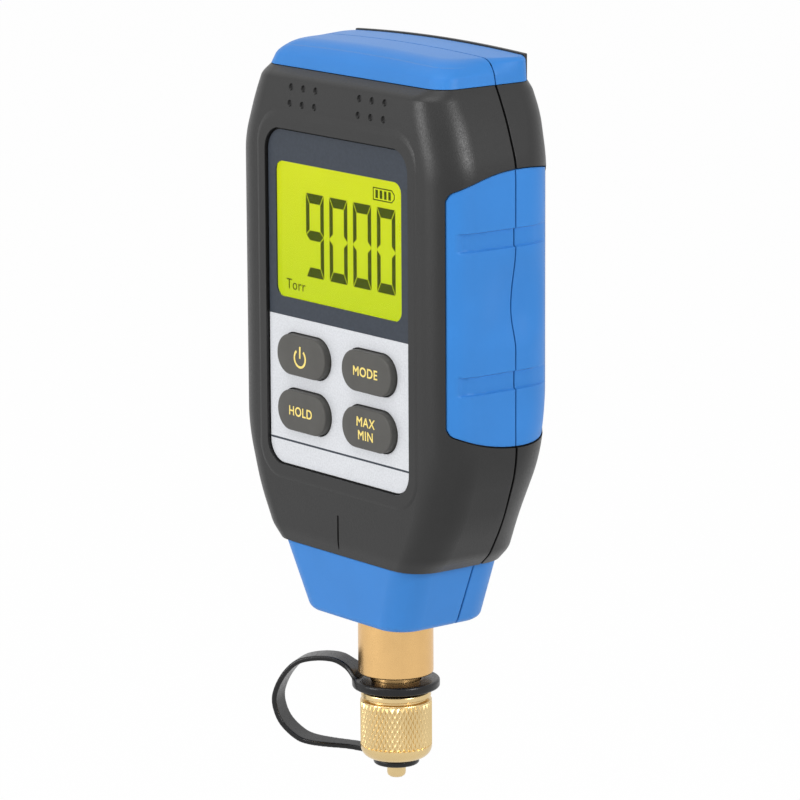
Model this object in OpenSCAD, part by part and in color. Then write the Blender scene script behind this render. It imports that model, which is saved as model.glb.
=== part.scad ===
// Handheld Pirani vacuum gauge: a two-part case with soft grips, a lit display, four keys
// and a brass flare port that is closed by a knurled cap on a rubber strap.
// Millimetres. The origin is the tip of the flare on the port's axis, +Z runs up the port
// into the case, and the display faces -Y.

/* [Port] */
// Major diameter of the male flare thread
thread_d = 11.11; // [9:0.01:13]
// Length of the thread
thread_len = 10; // [8:0.1:14]
// Height of the 45 degree flare cone at the tip
flare_h = 1.9; // [1.2:0.1:2.4]
// Bore through the port
bore_d = 4.8; // [3:0.1:5.4]
// Depth of the plain neck below the thread's crests
neck_cut = 0.4; // [0.2:0.05:0.8]
// Length of the neck between thread and stem
neck_h = 3.5; // [2.4:0.1:6]
// Diameter of the stem
stem_d = 16; // [14.5:0.1:18]
// Length of stem that shows below the collar
stem_show = 13; // [8:0.1:20]
// Diameter of the flange that locks the stem in the case
flange_d = 21; // [19:0.1:22.5]
// Thickness of that flange
flange_h = 3; // [2:0.1:4]

/* [Sensor] */
// Diameter of the glass-sealed header that carries the filament
header_d = 11; // [9:0.1:12.5]
// Thickness of the header
header_h = 3; // [2:0.1:4]
// Length of the filament chamber below the header
chamber_h = 7; // [5:0.1:9]
// Thickness of the seal ring under the header
seal_t = 1.2; // [0.8:0.1:1.6]
// Diameter of the header's pins
pin_d = 0.8; // [0.5:0.1:1.2]
// Diameter of the circle that the pins stand on
pin_circle = 5; // [4:0.1:6]
// Diameter of the filament wire
filament_d = 0.3; // [0.2:0.05:0.5]

/* [Cap and strap] */
// Wall of the cap outside the thread
cap_wall = 2; // [1.5:0.1:3]
// Thickness of the cap's closed end
cap_floor = 1.8; // [1.4:0.1:3]
// Thread left bare above the cap
cap_back = 1.3; // [0.8:0.1:3]
// Height of the plain rim at the cap's mouth
cap_rim = 1.5; // [1:0.1:2.5]
// Height of the rounded end of the cap
cap_round = 2.5; // [1.5:0.1:2.8]
// Thickness of the rubber washer in the cap
gasket_t = 1.3; // [0.8:0.1:2]
// Diameter of the rivet head under the cap
rivet_d = 4; // [3.4:0.1:5]
// Length of the rivet head
rivet_h = 3; // [2:0.1:4]
// Thickness of the strap's two rings
ring_t = 1.4; // [1:0.1:2]
// Width of the neck ring's band
ring_wall = 3.3; // [2:0.1:4]
// Diameter of the ring on the rivet
cap_ring_d = 9.8; // [8:0.1:12]
// Width of the strap
strap_w = 5.6; // [4:0.1:7]
// Thickness of the strap
strap_t = 1.1; // [0.8:0.1:1.6]
// Reach of the strap's loop from the port's axis
strap_reach = 27.2; // [24:0.1:32]
// Rise of the strap's loop above the ring on the stem
strap_rise = 4.9; // [4:0.1:6]

/* [Case] */
// Width of the case across its grips
case_w = 72.5; // [68:0.5:80]
// Distance from the port's axis to the front face
case_front = 15.2; // [15:0.1:18]
// Distance from the port's axis to the flat back
case_rear = 16.6; // [16.4:0.1:20]
// Corner radius of the case in plan
corner_r = 8.4; // [7.5:0.1:9.5]
// How much rounder the rear corners are than the front ones
rear_soft = 2.3; // [1.5:0.1:3]
// Height of the taper above the collar
taper_h = 22.5; // [20:0.1:24]
// Height of the fine groove up the chin
chin_groove_h = 8.6; // [4:0.1:12]
// Width of the case at the foot of the taper
chin_w = 55; // [54:0.1:57]
// Height of the rounded edge over the collar
chin_round = 2.6; // [2:0.1:3]
// Height of the shoulders below the top bumper
shoulder_h = 15.5; // [14.5:0.1:16.5]
// Width across the middle of the shoulders
brow_w = 66; // [65.4:0.1:66.6]
// Height of the brow's round edge
brow_round = 1.6; // [1.4:0.1:2]
// Wall of the case, soft layer included
wall = 2.8; // [2.6:0.1:3.2]
// Distance from the port's axis to the parting line
seam_y = 3; // [2:0.1:3.4]
// Open line between the two halves of the case
seam_gap = 0.3; // [0.1:0.05:0.5]

/* [Soft parts] */
// Thickness of the soft layer over the case
skin_t = 1.3; // [1:0.05:1.5]
// Shadow line around each soft part
skin_gap = 0.15; // [0.05:0.05:0.3]
// How far the grips stand proud of the hard case
grip_proud = -0.25; // [-0.3:0.05:0.2]
// Height of the grips at the parting line
grip_h = 57.6; // [50:0.1:60]
// Height of the grips' middle above the collar
grip_mid = 55.4; // [54:0.1:57]
// Distance from the port's axis to the grips' front edge
grip_front = 13.2; // [12:0.1:14]
// Distance from the port's axis to the grips' rear edge
grip_rear = 15.2; // [13:0.1:15.6]
// Radius of the grips' arched ends
grip_arch_r = 42; // [36:0.5:60]
// Height of the two shallow bands across each grip
band_h = 4; // [2:0.1:6]
// Depth of the bands
band_d = 0.6; // [0.2:0.05:0.8]
// Distance between the bands
band_pitch = 29.4; // [22:0.1:36]
// Distance of the bands from the grip's front and rear edges
band_inset = 1.8; // [1:0.1:4]
// Depth of the finger dip between the bands
dip_d = 1; // [0.3:0.05:1.05]
// Length of the finger dip
dip_len = 17; // [10:0.5:20]
// Height of the top bumper
bumper_h = 5.8; // [5:0.1:8]
// Width of the top bumper at its foot
bumper_w = 59.4; // [57:0.1:61]
// Depth of the top bumper in front of the port's axis
bumper_front = 11.2; // [10:0.1:11.4]
// Depth of the top bumper behind the port's axis
bumper_rear = 11.9; // [11.4:0.1:12.4]
// Corner radius of the top bumper in plan
bumper_r = 4.6; // [4:0.1:6]
// How far the top bumper narrows at each end
bumper_taper = 3.4; // [3:0.1:4.6]
// How far the top bumper leans back at the front
bumper_lean = 4.4; // [4:0.1:4.8]
// Rise of the crown along the top bumper
crown_rise = 1.2; // [0.5:0.1:2]
// Height of the collar round the stem
collar_h = 14.4; // [13:0.1:18]
// Width of the collar at its foot
collar_w = 34; // [33:0.1:38]
// Width of the collar at the case
collar_top_w = 45.4; // [44:0.1:48]
// Depth of the collar's foot
collar_d = 26; // [25.5:0.1:28]
// Depth of the collar at the case
collar_top_d = 29.2; // [28:0.1:29.6]

/* [Panel] */
// Width of the front panel
panel_w = 47; // [46:0.1:50]
// Height of the front panel
panel_h = 71; // [64:0.1:80]
// Height of the panel's foot above the collar
panel_foot = 16.7; // [15:0.1:17.2]
// Height of the hard case above the panel
brow_h = 12.6; // [12:0.1:14]
// Corner radius of the panel
panel_r = 4.6; // [3:0.1:6]
// Depth of the recess that the panel lies in
panel_recess = 1; // [0.8:0.05:1.2]
// Thickness of the panel's labels
label_t = 0.45; // [0.3:0.05:0.6]
// Height of the key label
key_label_h = 31.7; // [30:0.1:33]
// Border of the display label at each side of the window
window_side = 2.5; // [2.3:0.1:5]
// Border of the display label under the window
window_foot = 4; // [3:0.1:5]
// Border of the display label over the window
window_head = 6.6; // [6:0.1:9]
// Corner radius of the window
window_r = 2.3; // [1:0.1:3]
// Thickness of the clear window
pane_t = 0.9; // [0.8:0.05:1.1]
// Width of the clear window's edge under the label
pane_rim = 1.6; // [1.4:0.1:1.8]

/* [Keys] */
// Width of a key
key_w = 16.5; // [14:0.1:17]
// Height of a key
key_h = 8.6; // [7:0.1:9]
// Distance between the keys across the panel
key_pitch_x = 22; // [20.5:0.1:23]
// Distance between the keys up the panel
key_pitch_z = 11.9; // [11.6:0.1:12.4]
// Height of the lower keys above the panel's foot
key_foot = 12.1; // [11.8:0.1:12.6]
// Height of a key above its label
key_proud = 1.7; // [1:0.1:2.5]
// Travel of a key
key_travel = 1; // [0.5:0.1:1.4]
// Gap around a key
key_gap = 0.3; // [0.2:0.05:0.4]

/* [Electronics] */
// Thickness of the circuit board
board_t = 1.6; // [1:0.1:2]
// Width of the circuit board
board_w = 51; // [50:0.1:52]
// Distance from the front wall's inside to the board
board_set = 5.4; // [5:0.1:6]
// Thickness of the display glass
glass_t = 2.2; // [1.8:0.1:2.6]
// Margin of the display glass around the window
glass_rim = 0.6; // [0.4:0.1:0.9]
// Wall of the display frame
frame_wall = 0.9; // [0.7:0.1:1]
// Height of the circuit board's foot above the collar
board_foot = 13.9; // [13.6:0.1:14.4]
// Height of the circuit board above the display window
board_head = 6.4; // [6:0.1:6.8]
// Distance of the board screws from the board's sides
board_screw_in = 3.7; // [3.4:0.1:4]
// Clearance between parts that drop into each other
fit = 0.1; // [0.05:0.05:0.2]

/* [Battery] */
// Diameter of a battery cell
cell_d = 10.3; // [9.8:0.1:10.4]
// Length of a battery cell
cell_len = 44.5; // [40:0.1:46]
// Distance between the cells
cell_pitch = 11.2; // [10.8:0.1:12]
// Room for a contact at each end of a cell
contact_room = 3; // [2.5:0.1:4]
// Thickness of the battery box's walls
bay_wall = 1.2; // [1:0.1:1.6]
// Thickness of the battery door
door_t = 1.9; // [1.6:0.1:2]
// Rim of the door around the battery box's mouth
door_rim = 3.2; // [3:0.1:4]
// Corner radius of the door
door_r = 3; // [2:0.1:4]
// Height of the battery box's middle above the collar
bay_mid = 55.6; // [55:0.1:56.2]
// Width of the finger grooves in the door
groove_w = 12; // [8:0.5:20]
// Distance between the finger grooves
groove_pitch = 1.8; // [1.4:0.1:2.4]
// Distance of the first finger groove from the door's upper edge
groove_top = 5; // [4:0.1:8]

/* [Fasteners] */
// Diameter of the case screws
screw_d = 2.9; // [2.4:0.1:3.2]
// Diameter of the case screws' heads
screw_head_d = 5.4; // [4.8:0.1:5.6]
// Height of a screw head
screw_head_h = 1.8; // [1.4:0.1:2.2]
// Thickness of the material around a screw
boss_wall = 1.6; // [1.2:0.1:1.8]
// Distance of the lower case screws from the sides of the chin
chin_screw_in = 11.9; // [11.6:0.1:12.2]
// Height of the lower case screws above the collar
chin_screw_up = 9; // [8.8:0.1:9.4]
// Distance of the upper case screws from the sides of the brow
brow_screw_in = 12; // [11.6:0.1:12.4]
// Distance of the upper case screws below the top of the case
brow_screw_down = 9.2; // [9:0.1:9.4]
// Distance from the parting line to the seat of the case screws' heads
head_set = 5; // [4:0.1:5.4]
// Diameter of the board screws
board_screw_d = 1.9; // [1.5:0.1:2.1]

/* [Hidden] */

BLACK = "#3b3a39";
BLUE = "#3f86d8";
SILVER = "#d9dadd";
SLATE = "#4a4f5a";
LIME = "#d3e52b";
KEY = "#575350";
BRASS = "#d9b274";
RUBBER = "#2c2d30";
STEEL = "#b9bcc0";
GREEN = "#2f6b45";
WHITE = "#eceae2";
AMBER = "#c8923c";

eps = 0.01;
slab = 0.2;
inf = 400;
round_fn = 24;
small_fn = 16;

// Heights along the port's axis
thread_top = flare_h + thread_len;
stem_z = thread_top + neck_h;
collar_z = stem_z + stem_show;
case_z = collar_z + collar_h + skin_gap;
case_top = case_z + panel_foot + panel_h + brow_h;
bumper_z = case_top + skin_gap;
bumper_top = bumper_z + bumper_h;
grip_z = case_z + grip_mid;
panel_z = case_z + panel_foot;
window_w = panel_w - 2 * window_side;
window_h = panel_h - key_label_h - window_foot - window_head;
window_z = panel_z + key_label_h + window_foot + window_h / 2;
glass_w = window_w + 2 * glass_rim;
glass_h = window_h + 2 * glass_rim;
key_z = panel_z + key_foot;
bay_z = case_z + bay_mid;

// Radii of the port, the cap and the strap's rings
thread_play = 0.06;
thread_r = thread_d / 2;
neck_r = thread_r - neck_cut;
cap_in_r = thread_r + thread_play;
cap_r = cap_in_r + cap_wall;
ring_play = 0.5;
ring_in_r = thread_r + ring_play;
ring_r = ring_in_r + ring_wall;
seat = 0.05;
gasket_z = -gasket_t - seat;
cap_z = gasket_z - seat - cap_floor;
cap_top = thread_top - cap_back;
ring_z = thread_top + ring_play / 2;
cap_ring_z = cap_z - seat - ring_t;
rivet_neck_r = rivet_d / 2 - 0.6;
rivet_z = cap_ring_z - seat;

// Depths of the front panel, from the front face inwards
recess_y = -case_front + panel_recess;
label_y = recess_y - label_t;
wall_y = -case_front + wall;
board_y = wall_y + board_set;
glass_y = label_y + pane_t + seat;
panel_gap = 0.35;
key_top_y = label_y - key_proud;

// Thickness of the case's steps at the collar and under the top bumper
floor_t = 1.8;

// The stem inside the case
nose_floor = 1.8;
nose_z = collar_z + skin_t + nose_floor;
flange_z = nose_z + fit;
trap_z = flange_z + flange_h + fit;
trap_t = 2;
chamber_r = header_d / 2 - 1;
pocket_r = header_d / 2 + fit;
chamber_z = flange_z + flange_h;
seal_z = chamber_z + chamber_h;
header_z = seal_z + seal_t;
ring_nut_h = 2.4;
ring_nut_z = header_z + header_h;
stem_top = ring_nut_z + ring_nut_h;
stem_in_r = max(stem_d / 2 - 0.4, pocket_r + 1.2);
post_reach = 5;

// Battery box and door, set in the flat back
cells = [-1, 0, 1];
bay_w = 2 * cell_pitch + cell_d + 0.8;
bay_h = cell_len + 2 * contact_room;
door_w = bay_w + 2 * door_rim;
door_h = bay_h + 2 * door_rim;
rear_wall_y = case_rear - wall;
bay_floor_y = rear_wall_y - cell_d - 0.3;
cell_y = rear_wall_y - cell_d / 2 - 0.2;

// Screw places, each [x, z]
boss_r = screw_d / 2 + boss_wall;
head_seat_y = seam_y + head_set;
screw_end_y = -5.5;
case_screw_xz = [
    for (side = [-1, 1]) each [
        [side * (chin_w / 2 - chin_screw_in), case_z + chin_screw_up],
        [side * (brow_w / 2 - brow_screw_in), case_top - brow_screw_down]
    ]
];
post_r = board_screw_d / 2 + 0.75;
board_z = case_z + board_foot;
board_top = window_z + window_h / 2 + board_head;
board_screw_xz = [
    for (side = [-1, 1]) each [
        [side * (board_w / 2 - board_screw_in), board_z + 2.3],
        [side * (board_w / 2 - board_screw_in), board_top - 1.9]
    ]
];

// Sections of the case from foot to top, each
// [z, half width, front, rear, radius of the front corners, radius of the rear corners]
rear_r = corner_r + rear_soft;
case_corners = [
    [case_z, chin_w / 2 - chin_round * 1.1, case_front - 0.6, case_rear - 3.9, corner_r - 1.9, rear_r - 2.2],
    [case_z + chin_round, chin_w / 2, case_front, case_rear - 3.2, corner_r - 0.9, rear_r - 1.2],
    [case_z + taper_h * 0.46, mix(chin_w, case_w, 0.525) / 2, case_front, case_rear - 2, corner_r - 0.4,
        rear_r + 3.3],
    [case_z + taper_h, case_w / 2, case_front, case_rear, corner_r, rear_r + 3.3],
    [case_z + taper_h * 1.47, case_w / 2, case_front, case_rear, corner_r, rear_r],
    [case_top - shoulder_h, case_w / 2, case_front, case_rear, corner_r, rear_r],
    [case_top - shoulder_h * 0.42, brow_w / 2, case_front - 0.3, case_rear, corner_r - 0.2, rear_r - 2.1],
    [case_top - brow_round, brow_w / 2 - 2.4, case_front - 1, case_rear - 0.8, corner_r - 1.4, rear_r - 3.5],
    [case_top, bumper_w / 2, bumper_front + 0.2, bumper_rear + 2.7, bumper_r + 0.2, bumper_r + 1.4]
];
case_reach = [0, 1, 3.4, 4.4, 0, 3.2, 2.4, 0.7, 0];
case_sections = eased(case_corners, case_reach, 2);
hollow_sections = eased(case_corners, case_reach, 1);

collar_sections = [
    [collar_z, collar_w / 2 - 0.7, collar_d / 2 - 0.7, collar_d / 2 - 0.7, corner_r - 2.6, corner_r - 2],
    [collar_z + 0.7, collar_w / 2, collar_d / 2, collar_d / 2, corner_r - 1.9, corner_r - 1.2],
    [collar_z + collar_h, collar_top_w / 2, collar_top_d / 2, collar_top_d / 2 - 2, corner_r - 1.9,
        corner_r - 1.2]
];

// The top bumper's sections run on past its flat rear face
bumper_back = bumper_rear + bumper_r * 0.4;
bumper_corners = [
    [bumper_z, bumper_w / 2, bumper_front, bumper_back, bumper_r, bumper_r],
    [bumper_z + bumper_h * 0.58, bumper_w / 2 - 0.9, bumper_front - 1.2, bumper_back, bumper_r, bumper_r],
    [bumper_top, bumper_w / 2 - bumper_taper, bumper_front - bumper_lean, bumper_back, bumper_r, bumper_r]
];
bumper_sections = eased(bumper_corners, [0, 1.4, 0]);
bumper_foot = [bumper_z, bumper_w / 2, bumper_front, bumper_rear, corner_r - 1.6, corner_r - 1.6];

// The back of the hard case runs up behind the bumper as a thin fin
fin_t = 0.9;
fin_rise = 0.4;
fin_rear = bumper_rear + skin_gap + fin_t;
fin_half = bumper_w / 2 - 1.1;

function mix(a, b, t) = a + (b - a) * t;

// A list of sections with its inner corners turned into curves that reach the given
// height to each side of the corner
function eased(list, reach, steps = 3) = [
    for (i = [0 : len(list) - 1])
        if (reach[i] == 0) list[i]
        else
            let (
                below = min(reach[i] / (list[i][0] - list[i - 1][0]), 0.5),
                above = min(reach[i] / (list[i + 1][0] - list[i][0]), 0.5),
                a = mix(list[i], list[i - 1], below),
                b = mix(list[i], list[i + 1], above)
            )
            for (k = [0 : steps])
                let (t = k / steps)
                mix(mix(a, list[i], t), mix(list[i], b, t), t)
];

// The section of a list at one height, and the part of a list between two heights
function section_at(list, z) =
    let (i = max([for (k = [0 : len(list) - 2]) if (k == 0 || list[k][0] <= z) k]))
    mix(list[i], list[i + 1], (z - list[i][0]) / (list[i + 1][0] - list[i][0]));

function sliced(list, low, high) = [
    section_at(list, low),
    for (s = list) if (s[0] > low + 2 * slab && s[0] < high - 2 * slab) s,
    section_at(list, high)
];

// Point on a smooth curve through four points
function spline(a, b, c, d, t) =
    (2 * b + (c - a) * t + (2 * a - 5 * b + 4 * c - d) * t * t
        + (3 * b - a - 3 * c + d) * t * t * t) / 2;

module rounded_plan(half_w, front, rear, r, back_r) {
    hull() {
        for (side = [-1, 1]) {
            translate([side * (half_w - r), r - front]) circle(r, $fn = round_fn);
            translate([side * (half_w - back_r), rear - back_r]) circle(back_r, $fn = round_fn);
        }
    }
}

// Convex body through a list of sections, with every section grown by the given amount
module lofted(sections, grow = 0) {
    hull() rings(sections, grow);
}

// The sections as thin slabs, each on the inner side of its height
module rings(sections, grow) {
    middle = (sections[0][0] + sections[len(sections) - 1][0]) / 2;
    for (s = sections) {
        plinth(s[0] < middle ? s[0] : s[0] - slab, slab, s, grow);
    }
}

// Straight-sided step with the plan of one section, from z up to z + h
module plinth(z, h, section, grow) {
    translate([0, 0, z])
        linear_extrude(h)
        rounded_plan(section[1] + grow, section[2] + grow, section[3] + grow, section[4] + grow,
            section[5] + grow);
}

// Everything in front of or behind the parting line
module front_half() {
    translate([-inf / 2, seam_y - seam_gap / 2 - inf, -inf / 2]) cube(inf);
}

module rear_half() {
    translate([-inf / 2, seam_y + seam_gap / 2, -inf / 2]) cube(inf);
}

module side_half(side) {
    translate([side > 0 ? 0 : -inf, -inf / 2, -inf / 2]) cube(inf);
}

// Solid of the top bumper, with every side grown by the given amount: its lower sections
// and a top that is crowned along X
module crowned(grow = 0, rise = 0) {
    half = bumper_w / 2 - bumper_taper + grow;
    steps = 10;
    top = bumper_top + grow + rise;
    deep = bumper_rear + bumper_front - bumper_lean;
    intersection() {
        hull() {
            rings([for (i = [0 : len(bumper_sections) - 2]) bumper_sections[i]], grow);
            for (strip = [[1.5, 2], [0, deep - 1.8], [-1.8, deep]]) {
                reach = half + strip[0];
                translate([0, bumper_rear + grow, 0])
                    rotate([90, 0, 0])
                    linear_extrude(strip[1] + 2 * grow)
                    polygon([
                        [-reach, top - crown_rise * reach * reach / (half * half) - slab],
                        for (i = [0 : steps])
                            let (x = reach * (2 * i / steps - 1))
                            [x, top - crown_rise * x * x / (half * half)],
                        [reach, top - crown_rise * reach * reach / (half * half) - slab]
                    ]);
            }
        }
        translate([-inf / 2, bumper_rear + grow - inf, -inf / 2]) cube([inf, inf, inf]);
    }
}

// Plate with round corners, exact in outline, centred in X and Z and thick from y to y + t
module plate(w, h, r, y, z, t) {
    translate([0, y + t, z])
        rotate([90, 0, 0])
        linear_extrude(t)
        rounded_square(w, h, r);
}

module rounded_square(w, h, r) {
    square([w - 2 * r, h], center = true);
    square([w, h - 2 * r], center = true);
    for (x = [-1, 1], y = [-1, 1]) {
        translate([x * (w / 2 - r), y * (h / 2 - r)]) circle(r, $fn = round_fn);
    }
}

// Cylinder along Y from y to y + h
module y_rod(r, x, y, z, h, fn = round_fn) {
    translate([x, y + h, z]) rotate([90, 0, 0]) cylinder(r = r, h = h, $fn = fn);
}

// Side view of both grips, drawn through the case along X
module grip_zone(inset = 0) {
    arch_y = seam_y + 2;
    drop = grip_arch_r - grip_h / 2;
    translate([-inf / 2, 0, grip_z])
        rotate([90, 0, 90])
        linear_extrude(inf)
        offset(-inset)
        offset(1.2, $fn = small_fn)
        offset(-1.2)
        intersection() {
            translate([-grip_front, -grip_h]) square([grip_front + grip_rear, 2 * grip_h]);
            translate([arch_y, -drop]) circle(grip_arch_r, $fn = 90);
            translate([arch_y, drop]) circle(grip_arch_r, $fn = 90);
        }
}

module grip_sides(inset = 0) {
    difference() {
        grip_zone(inset);
        translate([-corner_r, -inf / 2, 0]) cube([2 * corner_r, inf, inf]);
    }
}

// One soft grip: the case's own surface, cut to the grip's outline, with two bands and a dip
module grip(side) {
    dip_r = (dip_len * dip_len / 4 + dip_d * dip_d) / (2 * dip_d);
    color(BLUE)
    difference() {
        intersection() {
            lofted(case_sections, grip_proud);
            grip_sides(skin_gap);
            side_half(side);
            children();
        }
        lofted(case_sections, -skin_t);
        for (up = [-1, 1]) {
            difference() {
                translate([-inf / 2, band_inset - grip_front, grip_z + (up * band_pitch - band_h) / 2])
                    cube([inf, grip_front + grip_rear - 2 * band_inset, band_h]);
                lofted(case_sections, grip_proud - band_d);
            }
        }
        translate([side * (case_w / 2 + grip_proud - dip_d + dip_r), 0, grip_z])
            rotate([90, 0, 0])
            cylinder(r = dip_r, h = inf, center = true, $fn = 90);
    }
}

// Outside of the hard case, with seats for the soft parts
module case_outside() {
    seat_in = -skin_t - skin_gap / 2;
    difference() {
        lofted(case_sections);
        difference() {
            grip_sides();
            lofted(case_sections, seat_in);
        }
    }
    lofted(sliced(collar_sections, collar_z + skin_t + skin_gap / 2, collar_z + collar_h), seat_in);
    plinth(case_z - skin_gap - 1, skin_gap + 1.5, collar_sections[2], seat_in - 1);
    crowned(seat_in);
    plinth(case_top - 0.5, skin_gap + 1, bumper_foot, -2 * skin_t);
}

// Hollow of the case, in which a wall across the nose holds the stem's flange down
module case_inside() {
    lofted(sliced(hollow_sections, case_z + floor_t, case_top - floor_t), -wall);
    lofted(sliced(collar_sections, nose_z, trap_z), -wall);
    lofted(sliced(collar_sections, trap_z + trap_t, collar_z + collar_h), -wall);
    translate([0, 0, nose_z]) cylinder(r = stem_in_r + fit, h = collar_h, $fn = round_fn);
    plinth(case_z - 1, floor_t + 2, collar_sections[2], -wall - 0.6);
    crowned(-wall);
    plinth(case_top - floor_t - 1, floor_t + 2, bumper_foot, -wall - 1.4);
}

module stem_hole() {
    cylinder(r = stem_d / 2 + fit, h = nose_z + eps, $fn = 2 * round_fn);
}

// Obround outline, exact
module obround(w, h) {
    square([w - h, h], center = true);
    for (side = [-1, 1]) {
        translate([side * (w - h) / 2, 0]) circle(h / 2, $fn = round_fn);
    }
}

module key_holes(y, t, gap) {
    for (col = [-1, 1], row = [0, 1]) {
        translate([col * key_pitch_x / 2, y + t, key_z + row * key_pitch_z])
            rotate([90, 0, 0])
            linear_extrude(t)
            obround(key_w + 2 * gap, key_h + 2 * gap);
    }
}

// Two groups of moulded dimples on the brow
module brow_dimples() {
    dimple_r = 0.95;
    dimple_pitch = 4.15;
    dimple_drop = 6.8;
    dimple_rise = 3.4;
    group_x = 11.45;
    for (group = [-1, 1], col = [-1 : 1], row = [0, 1]) {
        z = case_top - dimple_drop + row * dimple_rise;
        front = section_at(case_sections, z)[2];
        y_rod(dimple_r, group * group_x + col * dimple_pitch, -front - 1, z, 1.5, 8);
    }
}

module front_shell() {
    color(BLACK)
    difference() {
        union() {
            intersection() {
                difference() {
                    case_outside();
                    case_inside();
                }
                front_half();
            }
            intersection() {
                union() {
                    for (p = case_screw_xz) {
                        y_rod(boss_r, p[0], -inf, p[1], inf + seam_y - seam_gap / 2, small_fn);
                    }
                    for (p = board_screw_xz) {
                        y_rod(post_r, p[0], -inf, p[1], inf + board_y - fit / 2, small_fn);
                    }
                }
                lofted(hollow_sections, -wall + 0.5);
            }
        }
        stem_hole();
        plate(panel_w + 2 * panel_gap, panel_h + 2 * panel_gap, panel_r + panel_gap,
            -case_front - 1, panel_z + panel_h / 2, panel_recess + 1);
        plate(glass_w + 2 * fit, glass_h + 2 * fit, 0.5, -case_front, window_z, wall + 1);
        plate(window_w + 2 * (pane_rim + fit), window_h + 2 * (pane_rim + fit), window_r,
            recess_y - eps, window_z, pane_t - label_t + fit + eps);
        key_holes(recess_y - eps, wall, key_gap);
        for (p = case_screw_xz) {
            y_rod(screw_d / 2 + seat, p[0], screw_end_y - 1, p[1], inf, small_fn);
        }
        for (p = board_screw_xz) {
            y_rod(board_screw_d / 2 + seat, p[0], wall_y + 0.3, p[1], inf, small_fn);
        }
        brow_dimples();
        translate([-0.25, -case_front - 1, case_z - 1]) cube([0.5, 1.35, chin_groove_h + 1]);
    }
}

// Thin upright fin behind the top bumper, crowned along X
module top_fin() {
    steps = 10;
    top = bumper_top + fin_rise;
    translate([0, fin_rear, 0])
        rotate([90, 0, 0])
        linear_extrude(fin_t)
        polygon([
            [-fin_half, case_top - 1],
            for (i = [0 : steps])
                let (x = fin_half * (2 * i / steps - 1))
                [x, top - crown_rise * x * x / (fin_half * fin_half)],
            [fin_half, case_top - 1]
        ]);
}

module rear_shell() {
    color(BLACK)
    difference() {
        union() {
            intersection() {
                difference() {
                    union() {
                        case_outside();
                        top_fin();
                    }
                    case_inside();
                }
                rear_half();
            }
            intersection() {
                for (p = case_screw_xz) {
                    y_rod(boss_r, p[0], seam_y + seam_gap / 2, p[1], head_seat_y - seam_y, small_fn);
                    y_rod(screw_head_d / 2 + fit + boss_wall, p[0], head_seat_y - 1, p[1], inf, small_fn);
                }
                lofted(hollow_sections, -wall + 0.5);
            }
            plate(bay_w + 2 * bay_wall, bay_h + 2 * bay_wall, bay_wall, bay_floor_y - bay_wall, bay_z,
                rear_wall_y + eps - bay_floor_y + bay_wall);
        }
        stem_hole();
        plate(bay_w, bay_h, fit, bay_floor_y, bay_z, inf);
        plate(door_w + 2 * fit, door_h + 2 * fit, door_r + fit, case_rear - door_t - fit, bay_z, inf);
        for (p = case_screw_xz) {
            y_rod(screw_d / 2 + seat, p[0], seam_y - 1, p[1], inf, small_fn);
            y_rod(screw_head_d / 2 + fit, p[0], head_seat_y, p[1], inf, small_fn);
        }
        y_rod(board_screw_d / 2 + seat, 0, rear_wall_y - 0.4, door_screw_z(), inf, small_fn);
    }
}

module front_top_bumper() {
    bumper() front_half();
}

module rear_top_bumper() {
    bumper() rear_half();
}

module bumper() {
    color(BLUE)
    difference() {
        intersection() {
            crowned();
            children();
        }
        crowned(-skin_t);
    }
}

module front_left_grip() {
    grip(-1) front_half();
}

module front_right_grip() {
    grip(1) front_half();
}

module rear_left_grip() {
    grip(-1) rear_half();
}

module rear_right_grip() {
    grip(1) rear_half();
}

module collar() {
    color(BLUE)
    difference() {
        intersection() {
            lofted(collar_sections);
            children();
        }
        lofted(sliced(collar_sections, collar_z + skin_t, collar_z + collar_h), -skin_t);
        cylinder(r = stem_d / 2 + fit, h = inf, $fn = 2 * round_fn);
    }
}

module front_collar() {
    collar() front_half();
}

module rear_collar() {
    collar() rear_half();
}

// Outline of the whole panel, cut to the part between two heights
module panel_part(low, high) {
    intersection() {
        plate(panel_w, panel_h, panel_r, label_y, panel_z + panel_h / 2, label_t);
        translate([-panel_w / 2, -inf / 2, low]) cube([panel_w, inf, high - low]);
    }
}

module display_label() {
    color(SLATE)
    difference() {
        panel_part(panel_z + key_label_h + seat, panel_z + panel_h);
        plate(window_w, window_h, window_r, -inf / 2, window_z, inf);
    }
}

module key_label() {
    color(SILVER)
    difference() {
        panel_part(panel_z, panel_z + key_label_h);
        key_holes(-inf / 2, inf, key_gap);
    }
}

module display_window() {
    color("#e8f2d0", 0.4)
    union() {
        plate(window_w - 2 * fit, window_h - 2 * fit, window_r - fit, label_y, window_z, pane_t);
        plate(window_w + 2 * pane_rim, window_h + 2 * pane_rim, window_r, recess_y + seat, window_z,
            pane_t - label_t - seat);
    }
}

module display_glass() {
    color(LIME)
    plate(glass_w, glass_h, 0.4, glass_y, window_z, glass_t);
}

// Height of the slot for the contact strip under the glass
strip_h = 2;

module backlight() {
    low = window_z - window_h / 2 + strip_h;
    high = window_z + window_h / 2;
    color(WHITE)
    plate(window_w - fit, high - low - fit, 0.4, glass_y + glass_t + seat, (low + high) / 2,
        board_y - glass_y - glass_t - 2 * seat);
}

module display_frame() {
    rim_w = glass_w + 2 * fit;
    rim_h = glass_h + 2 * fit;
    front_y = wall_y + fit;
    color(WHITE)
    difference() {
        plate(rim_w + 2 * frame_wall, rim_h + 2 * frame_wall, 0.8, front_y, window_z,
            board_y - front_y - seat);
        plate(rim_w, rim_h, 0.4, glass_y, window_z, glass_t + seat);
        plate(window_w + fit, window_h + fit, 0.4, glass_y, window_z, inf);
    }
}

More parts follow.
